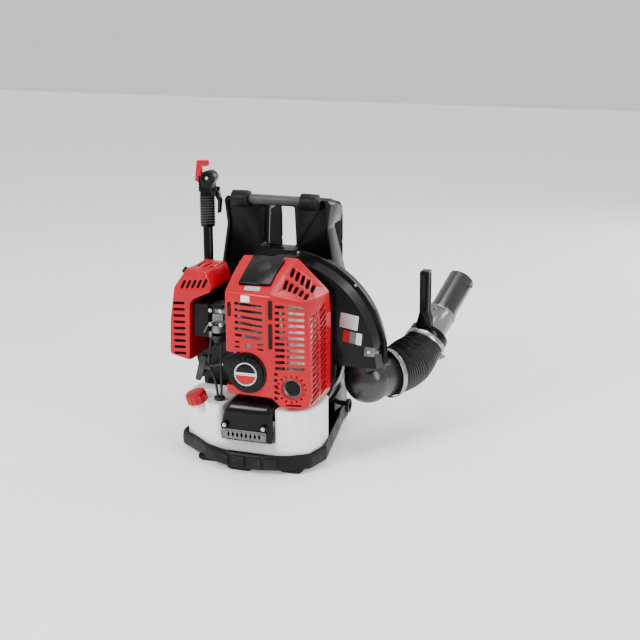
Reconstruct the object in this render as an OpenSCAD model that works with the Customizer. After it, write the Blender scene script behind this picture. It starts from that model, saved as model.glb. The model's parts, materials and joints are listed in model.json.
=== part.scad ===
/* [Overall] */
// Distance from the back frame's centre line to the crank axis
crank_x = 36; // [30:1:42]
// Height of the crank axis above the floor
crank_z = 202; // [198:1:206]
// Height of the back frame above the floor
frame_h = 505; // [500:1:512]
// Half the width of the back frame at its foot
frame_half_w = 128; // [124:1:130]

/* [Engine] */
// Distance from the back frame's centre plane to the middle of the cylinder
cylinder_y = -71; // [-73:1:-70]
// Cylinder bore radius
bore_r = 25; // [22:1:27]
// Piston stroke
stroke = 34; // [28:1:36]
// Height of one cooling fin and the gap after it
fin_pitch = 7; // [6:0.5:8]

/* [Fan] */
// Volute radius at its narrow start, beside the outlet duct
volute_r_start = 137; // [135:1:138]
// Growth of the volute radius from its start to the outlet duct
volute_growth = 79; // [77:1:80]
// Impeller radius
impeller_r = 130; // [118:1:132]
// Number of impeller blades
blade_count = 12; // [8:1:16]
// Wall thickness of the fan case
case_wall = 3; // [2.5:0.5:4]

/* [Air pipe] */
// Outside radius of the outlet elbow
elbow_r = 49; // [47:1:50]
// Outside radius of the straight pipe
pipe_r = 29; // [28:0.5:30]
// Length of the straight pipe
pipe_len = 98; // [80:1:120]
// Wall thickness of the pipes
pipe_wall = 2; // [1.5:0.5:3]

/* [Hidden] */
$fn = 48;
split_y = 45;
case_front_y = -12;
case_back_y = 78;
duct_x = 213;
duct_half = 42;
volute_turn = 348;
volute_start = -12;
duct_bottom_z = 188;
elbow_c = [duct_x + 7, 45, 146];
hose_dir = [0.535, 0.844, 0.03];
hose_start = elbow_c + 58 * hose_dir;
collar_c = [302, 190, 192];
pipe_dir = [0.252, 0.744, 0.618];
deck_z = 16;
arm_pivot = [-152, 92, 96];
wrist_z = crank_z + stroke / 2 + 78;
trigger_pin = [-130, 92, 508];
cap_foot = [-100, -88, 98];
cap_dir = unit([-0.2, -0.24, 0.95]);
handle_y = 98;
handle_z = 497;
rope_exit = [-12, -148, 212];
grip_pos = [-66, -126, 196];

// ---------- helpers ----------

function unit(v) = v / norm(v);

// points of a polygon whose corners are rounded to radius r, n steps to a corner
function rounded(pts, r, n = 4) = [
    for (i = [0 : len(pts) - 1])
        let (
            p = pts[i],
            a = unit(pts[(i + len(pts) - 1) % len(pts)] - p),
            b = unit(pts[(i + 1) % len(pts)] - p),
            half = acos(max(-1, min(1, a * b))) / 2,
            c = p + unit(a + b) * r / sin(half),
            pa = p + a * r / tan(half) - c,
            pb = p + b * r / tan(half) - c
        )
        for (k = [0 : n]) c + r * unit(pa * (n - k) / n + pb * k / n)
];

// an outline drawn in X and Z, made solid between two values of Y
module xz_slab(y0, y1) {
    translate([0, y1, 0])
        rotate([90, 0, 0])
            linear_extrude(y1 - y0)
                children();
}

// an outline drawn in Y and Z, made solid between two values of X
module yz_slab(x0, x1) {
    translate([x0, 0, 0])
        rotate([90, 0, 90])
            linear_extrude(x1 - x0)
                children();
}

// moves the Z axis onto direction d, with the origin at p
module aimed(p, d) {
    translate(p)
        rotate([0, acos(d[2] / norm(d)), atan2(d[1], d[0])])
            children();
}

module tube(r, wall, h) {
    difference() {
        cylinder(r = r, h = h);
        translate([0, 0, -1])
            cylinder(r = r - wall, h = h + 2);
    }
}

// a long hole with round ends, w long and h high, centred
module slot(w, h) {
    square([w - h, h], center = true);
    for (side = [-1, 1])
        translate([side * (w - h) / 2, 0])
            circle(d = h, $fn = 16);
}

// points and faces of a round cord swept along a route
function ring(p, d, r, sides) =
    let (s = unit(cross(d, [0.31, 0.17, 0.93])), t = cross(unit(d), s))
    [for (k = [0 : sides - 1]) p + r * (cos(360 * k / sides) * s + sin(360 * k / sides) * t)];

// a smooth route through the given points, n steps between neighbours
function smooth(pts, n) =
    let (last = len(pts) - 1)
    [
        for (i = [0 : last - 1])
            let (
                p0 = pts[max(i - 1, 0)],
                p1 = pts[i],
                p2 = pts[i + 1],
                p3 = pts[min(i + 2, last)]
            )
            for (k = [0 : n - 1])
                let (t = k / n)
                0.5 * (2 * p1 + (p2 - p0) * t + (2 * p0 - 5 * p1 + 4 * p2 - p3) * t * t
                    + (3 * p1 - p0 - 3 * p2 + p3) * t * t * t),
        pts[last]
    ];

module cord(route, r, sides = 8) {
    last = len(route) - 1;
    rings = [
        for (i = [0 : last])
            ring(route[i], route[min(i + 1, last)] - route[max(i - 1, 0)], r, sides)
    ];
    walls = [
        for (i = [0 : last - 1], k = [0 : sides - 1])
            let (n = (k + 1) % sides)
            [i * sides + k, (i + 1) * sides + k, (i + 1) * sides + n, i * sides + n]
    ];
    start_cap = [for (k = [0 : sides - 1]) k];
    end_cap = [for (k = [sides - 1 : -1 : 0]) last * sides + k];
    polyhedron([for (r0 = rings, p = r0) p], concat([start_cap], walls, [end_cap]));
}

// ---------- base and back frame ----------

base_outline = rounded([
    [-140, -88], [-104, -112], [-60, -148], [0, -174], [62, -176], [120, -160], [158, -134],
    [172, -78], [150, 60], [134, 150], [134, 196], [-134, 196], [-134, 150], [-146, 60]
], 10);

module base_tray() {
    color([0.07, 0.07, 0.075]) {
        difference() {
            translate([0, 0, 10])
                linear_extrude(30)
                    polygon(base_outline);
            translate([0, 0, deck_z])
                linear_extrude(30)
                    offset(delta = -4)
                        polygon(base_outline);
        }
        for (foot = [[-60, -128, 44, 30], [18, -150, 54, 34], [118, -134, 50, 34], [0, 0, 60, 40],
                [-100, 120, 50, 40], [100, 120, 50, 40]])
            translate([foot[0], foot[1], 0])
                linear_extrude(11)
                    polygon(rounded([
                        [-foot[2] / 2, -foot[3] / 2], [foot[2] / 2, -foot[3] / 2],
                        [foot[2] / 2, foot[3] / 2], [-foot[2] / 2, foot[3] / 2]
                    ], 8));
    }
}

// left and right edge of the back frame, as half width at each height
frame_edge = [
    [frame_half_w, deck_z], [frame_half_w + 2, 200], [frame_half_w, 340], [112, 440],
    [118, frame_h - 14], [108, frame_h], [0, frame_h]
];

function frame_outline(inset) = [
    for (side = [1, -1], k = [0 : len(frame_edge) - 2])
        let (
            i = side > 0 ? k : len(frame_edge) - 2 - k,
            p = frame_edge[i],
            lift = (i == 0 ? inset : (i >= 4 ? -inset : 0))
        )
        [side * (p[0] - inset), p[1] + lift]
];

frame_front_y = 116;
frame_back_y = 190;
recess_y = 156;
recess_outline = rounded([[-46, 390], [46, 390], [42, 520], [-42, 520]], 12);

// part of the frame's outline inside a band of heights
module frame_band(inset, z0, z1) {
    intersection() {
        polygon(rounded(frame_outline(inset), 7));
        translate([-200, z0])
            square([400, z1 - z0]);
    }
}

// hollow upper half, open at the back, with the walls of the hand recess left standing
module frame_upper_hollow() {
    difference() {
        xz_slab(frame_front_y + 6, frame_back_y + 1)
            frame_band(6, 306, 466);
        xz_slab(frame_front_y, recess_y + 6)
            polygon(rounded([[-52, 384], [52, 384], [48, 520], [-48, 520]], 14));
        for (side = [-1, 1])
            xz_slab(frame_front_y, frame_back_y)
                translate([side * 70 - 24, 446])
                    square([48, 26]);
    }
}

module back_frame() {
    color([0.02, 0.02, 0.022])
        difference() {
            union() {
                xz_slab(frame_front_y, frame_back_y)
                    polygon(rounded(frame_outline(0), 9));
                xz_slab(frame_front_y - 12, frame_front_y + 1)
                    polygon(rounded(frame_outline(0), 9));
            }
            xz_slab(frame_front_y - 13, frame_front_y)
                polygon(rounded(frame_outline(6), 7));
            difference() {
                xz_slab(frame_front_y - 13, frame_back_y - 6)
                    frame_band(6, 0, 304);
                for (x = [-88, 106])
                    translate([x, 150, 286])
                        rotate([-90, 0, 0])
                            cylinder(r = 16, h = 60);
            }
            frame_upper_hollow();
            xz_slab(frame_front_y - 13, recess_y)
                polygon(recess_outline);
            xz_slab(frame_front_y - 13, frame_front_y)
                translate([-97, 470])
                    square([194, 50]);
            xz_slab(frame_front_y - 20, frame_back_y + 1)
                polygon(rounded([[-40, 390], [24, 390], [20, 474], [-36, 474]], 5));
            yz_slab(-140, 140)
                polygon([[100, 501], [200, 474], [200, 520], [100, 520]]);
            for (side = [-1, 1])
                yz_slab(side * 120 - 22, side * 120 + 22)
                    polygon([[148, 446], [200, 446], [200, 300], [189, 300]]);
        }
}

module carry_handle() {
    color([0.2, 0.2, 0.21])
        difference() {
            translate([-58, handle_y, handle_z])
                rotate([0, 90, 0])
                    cylinder(r = 9.5, h = 116);
            for (k = [-1 : 1])
                translate([-52, handle_y - 11, handle_z - 0.8 + k * 5])
                    cube([104, 3, 1.6]);
        }
}

module handle_knuckles() {
    color([0.03, 0.03, 0.032])
        for (side = [-1, 1])
            translate([side * 76, handle_y - 2, handle_z]) {
                rotate([0, 90, 0])
                    cylinder(r = 17, h = 35.8, center = true);
                translate([0, 13.8, -8])
                    cube([30, 12, 24], center = true);
            }
}

module av_mounts() {
    color([0.05, 0.05, 0.05]) {
        for (x = [-52, 104])
            translate([x, 0, 0]) {
                translate([0, 20, deck_z])
                    cylinder(r = 14, h = 12);
                translate([0, 20, deck_z + 12])
                    cylinder(r = 10, h = 10);
                translate([0, 20, deck_z + 22])
                    cylinder(r = 14, h = 8);
            }
        for (x = [-88, 106])
            translate([x, case_back_y, 286])
                rotate([-90, 0, 0]) {
                    cylinder(r = 15, h = 16);
                    translate([0, 0, 16])
                        cylinder(r = 10, h = 40);
                    translate([0, 0, 56])
                        cylinder(r = 15, h = 16);
                }
    }
}

// ---------- fan ----------

// the volute's radius grows clockwise, seen from the engine side, once round from the duct's inner wall
function volute_r(t) = volute_r_start + volute_growth * pow(t / volute_turn, 0.9);

function volute_point(t, r) = [crank_x + r * cos(volute_start - t), crank_z + r * sin(volute_start - t)];

function volute(inset, reach = 0) = [
    for (t = [0 : 4 : volute_turn]) volute_point(t, volute_r(t) - inset + (t < 20 ? 0 : reach))
];

function duct_outline(inset, reach = 0) = [
    [duct_x + duct_half - inset + reach, duct_bottom_z + (inset > 0 ? -2 : 0)],
    [duct_x - duct_half + inset, duct_bottom_z + (inset > 0 ? -2 : 0)]
];

module case_profile(inset, reach = 0) {
    polygon(concat(volute(inset, reach), duct_outline(inset, reach)));
}

module case_half(y0, y1, wall_y0, wall_y1, rim_y0, rim_y1) {
    difference() {
        union() {
            xz_slab(y0, y1)
                case_profile(0);
            xz_slab(rim_y0, rim_y1)
                case_profile(0, 7);
        }
        difference() {
            xz_slab(y0 - 1, y1 + 1)
                case_profile(case_wall);
            xz_slab(wall_y0, wall_y1)
                case_profile(0);
        }
        translate([duct_x, split_y, duct_bottom_z - 6])
            cylinder(r = duct_half - case_wall, h = 40, $fn = 96);
    }
}

module fan_case_front() {
    color([0.03, 0.03, 0.033])
        difference() {
            union() {
                case_half(
                    case_front_y, split_y, case_front_y, case_front_y + case_wall, split_y - 5, split_y
                );
                for (x = [-52, 104])
                    translate([x, 20, deck_z + 30])
                        cylinder(r = 12, h = x < 0 ? 28 : 70);
            }
            translate([crank_x, case_front_y - 1, crank_z])
                rotate([-90, 0, 0])
                    cylinder(r = 16, h = 6);
            xz_slab(case_front_y + case_wall, split_y + 1)
                case_profile(case_wall);
        }
}

module fan_case_rear() {
    color([0.035, 0.035, 0.038])
        difference() {
            case_half(split_y, case_back_y, case_back_y - case_wall, case_back_y, split_y, split_y + 5);
            translate([crank_x, case_back_y - 10, crank_z])
                rotate([-90, 0, 0])
                    cylinder(r = 78, h = 20, $fn = 96);
        }
}

module inlet_grille() {
    color([0.05, 0.05, 0.055])
        translate([crank_x, case_back_y, crank_z])
            rotate([-90, 0, 0]) {
                difference() {
                    cylinder(r = 90, h = 5, $fn = 96);
                    for (r = [16 : 12 : 76])
                        translate([0, 0, -1])
                            tube(r + 9, 9, 7);
                }
                for (a = [0 : 45 : 135])
                    rotate([0, 0, a])
                        translate([-88, -2, 0])
                            cube([176, 4, 6]);
            }
}

module case_screws() {
    color([0.75, 0.75, 0.77])
        for (t = [40 : 38 : 306])
            let (p = volute_point(t, volute_r(t) + 3.6))
            translate([p[0], split_y - 8.2, p[1]])
                rotate([-90, 0, 0])
                    cylinder(r = 3, h = 3.2);
}

// ---------- elbow, hose and pipe ----------

module outlet_elbow() {
    neck_r = duct_half;
    color([0.09, 0.09, 0.1])
        difference() {
            union() {
                translate([duct_x, 45, 150])
                    cylinder(r = neck_r, h = duct_bottom_z - 150.3, $fn = 72);
                translate(elbow_c)
                    sphere(r = elbow_r, $fn = 72);
                aimed(elbow_c, hose_dir)
                    cylinder(r = elbow_r - 4.5, h = 66, $fn = 72);
            }
            translate([duct_x, 45, 146])
                cylinder(r = neck_r - 4, h = 40, $fn = 72);
            translate(elbow_c)
                sphere(r = elbow_r - 4, $fn = 72);
            aimed(elbow_c, hose_dir)
                cylinder(r = elbow_r - 8, h = 80, $fn = 72);
            translate([100, -50, duct_bottom_z - 0.3])
                cube([240, 200, 60]);
        }
}

// worm-drive band: a split ring round the hose and its screw housing
module hose_band(r, screw_turn) {
    difference() {
        cylinder(r = r + 1.6, h = 11, center = true, $fn = 72);
        cylinder(r = r, h = 12, center = true, $fn = 72);
    }
    rotate([0, 0, screw_turn]) {
        translate([r + 4, 0, 0])
            cube([7, 14, 10], center = true);
        translate([r + 5, -14, 0])
            rotate([-90, 0, 0])
                cylinder(r = 3.5, h = 34);
    }
}

module hose_clamp_inner() {
    color([0.8, 0.8, 0.82])
        aimed(hose_start, hose_dir)
            hose_band(elbow_r + 1.2, 60);
}

// centre line of the hose: a cubic curve from the elbow's mouth to the collar
function hose_point(t) =
    let (
        reach = 42,
        p0 = hose_start - 6 * hose_dir,
        p1 = p0 + reach * hose_dir,
        p3 = collar_c + 4 * pipe_dir,
        p2 = p3 - reach * pipe_dir,
        s = 1 - t
    )
    s * s * s * p0 + 3 * s * s * t * p1 + 3 * s * t * t * p2 + t * t * t * p3;

// hose radius: tight on both spigots and fuller between them
function hose_r(t) = (1 - t) * (elbow_r + 0.2) + t * 41 + 7 * pow(sin(180 * t), 2);

module flex_hose() {
    steps = 16;
    sides = 32;
    path = [for (i = [0 : steps]) hose_point(i / steps)];
    dirs = [for (i = [0 : steps]) path[min(i + 1, steps)] - path[max(i - 1, 0)]];
    outer = [for (i = [0 : steps]) ring(path[i], dirs[i], hose_r(i / steps), sides)];
    inner = [for (i = [0 : steps]) ring(path[i], dirs[i], hose_r(i / steps) - 3, sides)];
    shell = concat(outer, [for (i = [steps : -1 : 0]) inner[i]]);
    loops = len(shell);
    color([0.06, 0.06, 0.065])
        polyhedron(
            [for (loop = shell, p = loop) p],
            [
                for (i = [0 : loops - 1], k = [0 : sides - 1])
                    let (n = (k + 1) % sides, j = (i + 1) % loops)
                    [i * sides + k, j * sides + k, j * sides + n, i * sides + n]
            ]
        );
}

module hose_clamp_outer() {
    color([0.8, 0.8, 0.82])
        aimed(collar_c - 2 * pipe_dir, pipe_dir)
            hose_band(43.6, -30);
}

module swivel_pipe() {
    color([0.45, 0.45, 0.46])
        aimed(collar_c, pipe_dir)
            difference() {
                union() {
                    translate([0, 0, -18])
                        cylinder(r = 36, h = 24, $fn = 72);
                    translate([0, 0, 6])
                        cylinder(r1 = 36, r2 = pipe_r + 2, h = 16, $fn = 72);
                    translate([0, 0, 22])
                        cylinder(r = pipe_r + 2, h = 60, $fn = 72);
                    translate([0, 0, 76])
                        cylinder(r = pipe_r + 3.5, h = 6, $fn = 72);
                    for (side = [0, 180])
                        rotate([0, 0, side])
                            translate([pipe_r, 0, 70])
                                rotate([0, 90, 0])
                                    cylinder(r = 3, h = 7);
                }
                translate([0, 0, -19])
                    cylinder(r = pipe_r + 0.2, h = 110, $fn = 72);
            }
}

module straight_pipe() {
    color([0.05, 0.05, 0.055])
        aimed(collar_c + 82.1 * pipe_dir, pipe_dir)
            difference() {
                union() {
                    translate([0, 0, -20])
                        cylinder(r = pipe_r + 0.1, h = pipe_len + 20, $fn = 72);
                    cylinder(r = pipe_r + 2, h = 5, $fn = 72);
                    for (side = [-1, 1])
                        rotate([0, 0, 90 * side])
                            translate([pipe_r - 0.5, 0, pipe_len - 14])
                                rotate([0, 90, 0])
                                    cylinder(r = 3.5, h = 6);
                }
                translate([0, 0, -21])
                    cylinder(r = pipe_r - pipe_wall, h = pipe_len + 30, $fn = 72);
            }
}

module control_handle() {
    ring_c = collar_c + 14 * pipe_dir;
    post_foot = ring_c + [-2, -22, 40];
    color([0.03, 0.03, 0.033]) {
        aimed(collar_c + 6.3 * pipe_dir, pipe_dir)
            difference() {
                cylinder(r = 43, h = 15, $fn = 72);
                translate([0, 0, -1])
                    cylinder(r = 36.2, h = 18, $fn = 72);
            }
        difference() {
            xz_slab(post_foot[1] - 12, post_foot[1] + 12)
                polygon(rounded([
                    [post_foot[0] - 17, post_foot[2] - 8], [post_foot[0] + 19, post_foot[2] - 8],
                    [post_foot[0] + 10, post_foot[2] + 24], [post_foot[0] + 10, post_foot[2] + 112],
                    [post_foot[0] - 10, post_foot[2] + 112], [post_foot[0] - 9, post_foot[2] + 24]
                ], 3));
            for (y = [-13, 7])
                xz_slab(post_foot[1] + y, post_foot[1] + y + 6)
                    polygon([
                        [post_foot[0] - 5, post_foot[2] + 26], [post_foot[0] + 6, post_foot[2] + 26],
                        [post_foot[0] + 6, post_foot[2] + 104], [post_foot[0] - 5, post_foot[2] + 104]
                    ]);
            aimed(collar_c, pipe_dir)
                cylinder(r = 42.9, h = 60, $fn = 72);
        }
    }
}

// ---------- engine ----------

module crankcase() {
    color([0.55, 0.55, 0.57])
        difference() {
            union() {
                translate([crank_x, -100, crank_z])
                    rotate([-90, 0, 0])
                        cylinder(r = 46, h = 60, $fn = 72);
                xz_slab(-52, -45)
                    translate([crank_x, crank_z])
                        polygon(rounded([[-50, -50], [50, -50], [50, 50], [-50, 50]], 10));
                translate([crank_x - 34, cylinder_y - 29, crank_z + 20])
                    cube([68, 58, 42]);
                translate([crank_x - 26, -96, crank_z - 52])
                    cube([52, 44, 20]);
                for (x = [-42, 42], z = [-38, 38])
                    translate([crank_x + x, -46, crank_z + z])
                        rotate([-90, 0, 0])
                            cylinder(r = 7, h = 33.7);
            }
            translate([crank_x, -93, crank_z])
                rotate([-90, 0, 0])
                    cylinder(r = 40, h = 46, $fn = 72);
            translate([crank_x, cylinder_y, crank_z + 10])
                cylinder(r = bore_r + 1, h = 60, $fn = 72);
            translate([crank_x, -110, crank_z])
                rotate([-90, 0, 0])
                    cylinder(r = 13, h = 80);
        }
}

module crank_bearings() {
    color([0.7, 0.7, 0.72])
        for (y = [-99.5, -46.5])
            translate([crank_x, y, crank_z])
                rotate([-90, 0, 0])
                    tube(13, 4.95, 6);
}

module crankshaft() {
    color([0.6, 0.6, 0.62])
        translate([crank_x, 0, crank_z])
            rotate([-90, 0, 0]) {
                translate([0, 0, -134])
                    cylinder(r = 8, h = 56);
                translate([0, 0, -84])
                    cylinder(r = 38, h = 6, $fn = 72);
                translate([0, 0, -64])
                    cylinder(r = 38, h = 6, $fn = 72);
                translate([0, 0, -64])
                    cylinder(r = 8, h = 80);
                translate([0, 0, -134])
                    cylinder(r = 16, h = 5);
            }
}

module flywheel() {
    color([0.5, 0.5, 0.52])
        translate([crank_x, -36, crank_z])
            rotate([-90, 0, 0])
                difference() {
                    union() {
                        cylinder(r = 46, h = 14, $fn = 72);
                        translate([0, 0, 10])
                            cylinder(r = 14, h = 10);
                    }
                    translate([0, 0, -1])
                        cylinder(r = 36, h = 8, $fn = 72);
                    translate([0, 0, -2])
                        cylinder(r = 8.02, h = 40);
                }
}

module impeller() {
    color([0.1, 0.1, 0.105])
        translate([crank_x, 0, crank_z])
            rotate([-90, 0, 0])
                difference() {
                    union() {
                        cylinder(r = impeller_r, h = 3, $fn = 96);
                        cylinder(r = 18, h = 30);
                        for (k = [0 : blade_count - 1])
                            rotate([0, 0, 360 * k / blade_count])
                                translate([56, -1.5, 2])
                                    rotate([0, 0, -32])
                                        cube([72, 3, 48]);
                    }
                    translate([0, 0, -1])
                        cylinder(r = 8.02, h = 18);
                }
}

module cylinder_block() {
    foot_z = crank_z + 62;
    color([0.62, 0.62, 0.63])
        translate([crank_x, cylinder_y, foot_z])
            difference() {
                union() {
                    linear_extrude(84)
                        circle(r = bore_r + 5);
                    for (k = [0 : 9])
                        translate([0, 0, 8 + k * fin_pitch])
                            linear_extrude(2.4)
                                polygon(rounded([[-42, -38], [42, -38], [42, 38], [-42, 38]], 10));
                    translate([-34, -29, 0])
                        cube([68, 58, 5]);
                    translate([-52, -12, 20])
                        cube([30, 24, 26]);
                    translate([24, -14, 24])
                        cube([28, 28, 26]);
                }
                translate([0, 0, -1])
                    linear_extrude(76)
                        circle(r = bore_r);
                translate([0, 0, 60])
                    linear_extrude(60)
                        circle(r = 5.1);
            }
}

module piston() {
    color([0.7, 0.7, 0.71])
        translate([crank_x, cylinder_y, wrist_z])
            difference() {
                translate([0, 0, -16])
                    linear_extrude(32)
                        circle(r = bore_r - 0.05);
                translate([0, 0, -17])
                    linear_extrude(28)
                        circle(r = bore_r - 4);
                rotate([90, 0, 0])
                    translate([0, 0, -30])
                        linear_extrude(60)
                            circle(r = 5.05);
            }
}

module connecting_rod() {
    big_z = crank_z + stroke / 2;
    color([0.5, 0.5, 0.52]) {
        xz_slab(cylinder_y - 3.5, cylinder_y + 3.5)
            difference() {
                union() {
                    translate([crank_x, wrist_z])
                        circle(r = 8);
                    translate([crank_x, big_z])
                        circle(r = 11);
                    translate([crank_x - 4.5, big_z])
                        square([9, wrist_z - big_z]);
                }
            }
        xz_slab(cylinder_y - bore_r + 2, cylinder_y + bore_r - 2)
            translate([crank_x, wrist_z])
                circle(r = 5);
        xz_slab(cylinder_y - 6, cylinder_y + 6)
            translate([crank_x, big_z])
                circle(r = 6);
    }
}

module spark_plug() {
    color([0.85, 0.85, 0.85])
        translate([crank_x, cylinder_y, crank_z + 62 + 78]) {
            linear_extrude(24)
                circle(r = 5);
            translate([0, 0, 6.2])
                linear_extrude(7)
                    circle(r = 9.5, $fn = 6);
        }
}

module ignition_lead() {
    plug_top = [crank_x, cylinder_y, crank_z + 62 + 78 + 13.4];
    color([0.03, 0.03, 0.03]) {
        translate(plug_top)
            difference() {
                linear_extrude(26)
                    circle(r = 8.5);
                translate([0, 0, -1])
                    linear_extrude(12.2)
                        circle(r = 5.02);
            }
        cord(smooth([
            plug_top + [-6, 0, 12], plug_top + [-18, 0, 8], plug_top + [-44, 8, -6],
            plug_top + [-60, 26, -50], plug_top + [-56, 33, -80], plug_top + [-30.5, 33, -88]
        ], 4), 3);
    }
}

module ignition_coil() {
    color([0.08, 0.08, 0.09])
        translate([crank_x - 30, -33, crank_z + 52])
            linear_extrude(26)
                square([36, 13]);
}

module intake_insulator() {
    color([0.12, 0.12, 0.12])
        difference() {
            translate([crank_x - 66, cylinder_y - 18, crank_z + 76])
                cube([13.9, 36, 34]);
            translate([crank_x - 70, cylinder_y, crank_z + 93])
                rotate([0, 90, 0])
                    linear_extrude(30)
                        circle(r = 9);
        }
}

module carburetor() {
    color([0.72, 0.72, 0.73])
        difference() {
            union() {
                translate([crank_x - 104, cylinder_y - 20, crank_z + 72])
                    cube([38, 40, 40]);
                translate([crank_x - 85, cylinder_y - 28, crank_z + 60])
                    linear_extrude(14)
                        circle(r = 14);
                translate([crank_x - 96, cylinder_y - 30, crank_z + 82])
                    cube([22, 12, 14]);
                translate([crank_x - 98, cylinder_y - 34, crank_z + 50])
                    linear_extrude(12)
                        circle(r = 5);
            }
            translate([crank_x - 110, cylinder_y, crank_z + 93])
                rotate([0, 90, 0])
                    linear_extrude(60)
                        circle(r = 9);
        }
}

module choke_lever() {
    color([0.06, 0.06, 0.06])
        translate([crank_x - 86, cylinder_y - 22.5, crank_z + 110])
            rotate([90, 0, 0]) {
                linear_extrude(3)
                    slot(26, 8);
                translate([0, 0, -2.2])
                    linear_extrude(3)
                        circle(r = 2.5);
                translate([8.8, 0, 0])
                    linear_extrude(9)
                        circle(r = 4);
            }
}

module muffler() {
    color([0.75, 0.75, 0.77])
        difference() {
            union() {
                xz_slab(-128, -46)
                    polygon(rounded([
                        [crank_x + 56, 168], [150, 156], [156, 170], [156, 320], [142, 334],
                        [crank_x + 56, 334]
                    ], 8));
                translate([crank_x + 50, -84, 230])
                    cube([8, 26, 24]);
                translate([126, -146, 177])
                    rotate([-90, 0, 0])
                        linear_extrude(20)
                            circle(r = 13);
            }
            translate([126, -147, 177])
                rotate([-90, 0, 0])
                    linear_extrude(16)
                        circle(r = 10.5);
        }
}

// ---------- covers ----------

// left block of the cover, over the cylinder and the starter
module cover_left(inset, back_y) {
    hull() {
        xz_slab(-160 + inset, -159 + inset)
            polygon([
                [-12 + inset, 153 + inset], [86 + inset, 155 + inset], [86 + inset, 358 - inset],
                [-12 + inset, 361 - inset]
            ]);
        xz_slab(back_y - 1, back_y)
            polygon([
                [-18 + inset, 148 + inset], [96 - inset, 148 + inset], [96 - inset, 408 - inset],
                [66, 416 - inset], [-18 + inset, 408 - inset]
            ]);
    }
}

// right block of the cover, over the muffler
module cover_right(inset, back_y) {
    hull() {
        xz_slab(-160 + inset, -159 + inset)
            polygon([
                [84 - inset, 156], [104, 140 + inset], [158 - inset, 138 + inset],
                [158 - inset, 350 - inset], [84 - inset, 358 - inset]
            ]);
        xz_slab(back_y - 1, back_y)
            polygon([
                [84 + inset / 2, 150 + inset], [104, 134 + inset], [167 - inset, 134 + inset],
                [167 - inset, 338 - inset], [136, 374 - inset], [96, 407 - inset],
                [84 + inset / 2, 408 - inset]
            ]);
    }
}

module front_slots() {
    for (row = [0 : 5])
        xz_slab(-175, -140)
            translate([40, 338 - row * 12.6])
                slot(60, 6);
    for (x = [22, 66], row = [0 : 1])
        xz_slab(-175, -140)
            translate([x, 262 - row * 10])
                slot(12, 5);
    for (z = [332, 278])
        xz_slab(-175, -148)
            translate([86, z])
                rotate(90)
                    slot(z > 300 ? 36 : 46, 9);
    xz_slab(-175, -140)
        translate([44, 257])
            circle(r = 5);
    for (row = [0 : 15])
        xz_slab(-175, -140)
            translate([row > 10 ? 101 : 104, 340 - row * 12.2])
                slot(row > 10 ? 14 : 18, 6.4);
    for (row = [0 : 9])
        xz_slab(-175, -140)
            translate([133, 340 - row * 12.2])
                slot(34, 6.4);
}

module side_slots() {
    for (col = [0 : 1], row = [0 : 15])
        translate([150, -122 + col * 38, 322 - row * 11.4 + col * 6])
            rotate([-24, 0, 0])
                translate([0, -15, -2.5])
                    cube([30, 30, 5]);
}

module top_slots() {
    for (row = [0 : 1], k = [0 : 4])
        translate([101 + k * 10.5, -118 + row * 34, 340])
            linear_extrude(80)
                rotate(100)
                    slot(24, 6);
}

module engine_cover() {
    wall = 2.6;
    color([0.8, 0.04, 0.05])
        difference() {
            union() {
                cover_left(0, -42);
                cover_right(0, -42);
            }
            cover_left(wall, -30);
            cover_right(wall, -30);
            front_slots();
            side_slots();
            top_slots();
            translate([crank_x, -150, crank_z])
                rotate([90, 0, 0])
                    linear_extrude(30)
                        circle(r = 41, $fn = 72);
            translate([126, -150, 177])
                rotate([90, 0, 0])
                    linear_extrude(30)
                        circle(r = 20, $fn = 72);
            translate([-24, -157.3, crank_z - 30])
                cube([30, 60, 68]);
            translate([-20, -125, 140])
                cube([106, 100, 36]);
            translate([10, -136, 340])
                cube([68, 82, 90]);
            translate([-30, -128, 160])
                cube([34, 100, 190]);
        }
}

module cylinder_cap_panel() {
    color([0.03, 0.03, 0.035])
        hull() {
            translate([11, -135, 374])
                cube([66, 2, 3]);
            translate([11, -56, 408])
                cube([66, 2, 6]);
        }
}

module starter_case() {
    color([0.025, 0.025, 0.028])
        difference() {
            union() {
                translate([crank_x, -138, crank_z])
                    rotate([90, 0, 0]) {
                        linear_extrude(22)
                            circle(r = 40, $fn = 72);
                        translate([0, 0, 22])
                            linear_extrude(6)
                                circle(r = 36, $fn = 72);
                    }
                xz_slab(-156, -139)
                    polygon(rounded([
                        [-16, 205], [-16, 219], [crank_x - 20, 243], [crank_x, 230], [crank_x, 180],
                        [crank_x - 40, 190]
                    ], 4));
            }
            translate([crank_x, -137, crank_z])
                rotate([90, 0, 0])
                    linear_extrude(22)
                        circle(r = 37, $fn = 72);
            translate([-30, -148, 212])
                rotate([0, 90, 0])
                    linear_extrude(60)
                        circle(r = 3);
        }
}

module starter_reel() {
    color([0.15, 0.15, 0.15])
        translate([crank_x, -141, crank_z])
            rotate([90, 0, 0])
                difference() {
                    union() {
                        linear_extrude(3)
                            circle(r = 35, $fn = 72);
                        linear_extrude(13)
                            circle(r = 26, $fn = 72);
                        translate([0, 0, 10])
                            linear_extrude(3)
                                circle(r = 35, $fn = 72);
                    }
                    translate([0, 0, -1])
                        linear_extrude(16)
                            circle(r = 9);
                }
}

module starter_rope() {
    color([0.1, 0.1, 0.1])
        cord(smooth([rope_exit, [-30, -146, 208], [-46, -138, 202], grip_pos + [12, -3, 3]], 3), 2);
}

module starter_grip() {
    color([0.04, 0.04, 0.042])
        translate(grip_pos)
            rotate([0, 14, 14]) {
                translate([-6, 0, 0])
                    rotate([0, 90, 0])
                        linear_extrude(16)
                            circle(r = 6);
                translate([-8, 0, -4])
                    rotate([90, 0, 0])
                        linear_extrude(18, center = true)
                            polygon(rounded([[-6, -26], [6, -26], [7, 26], [-7, 26]], 5));
            }
}

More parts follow.
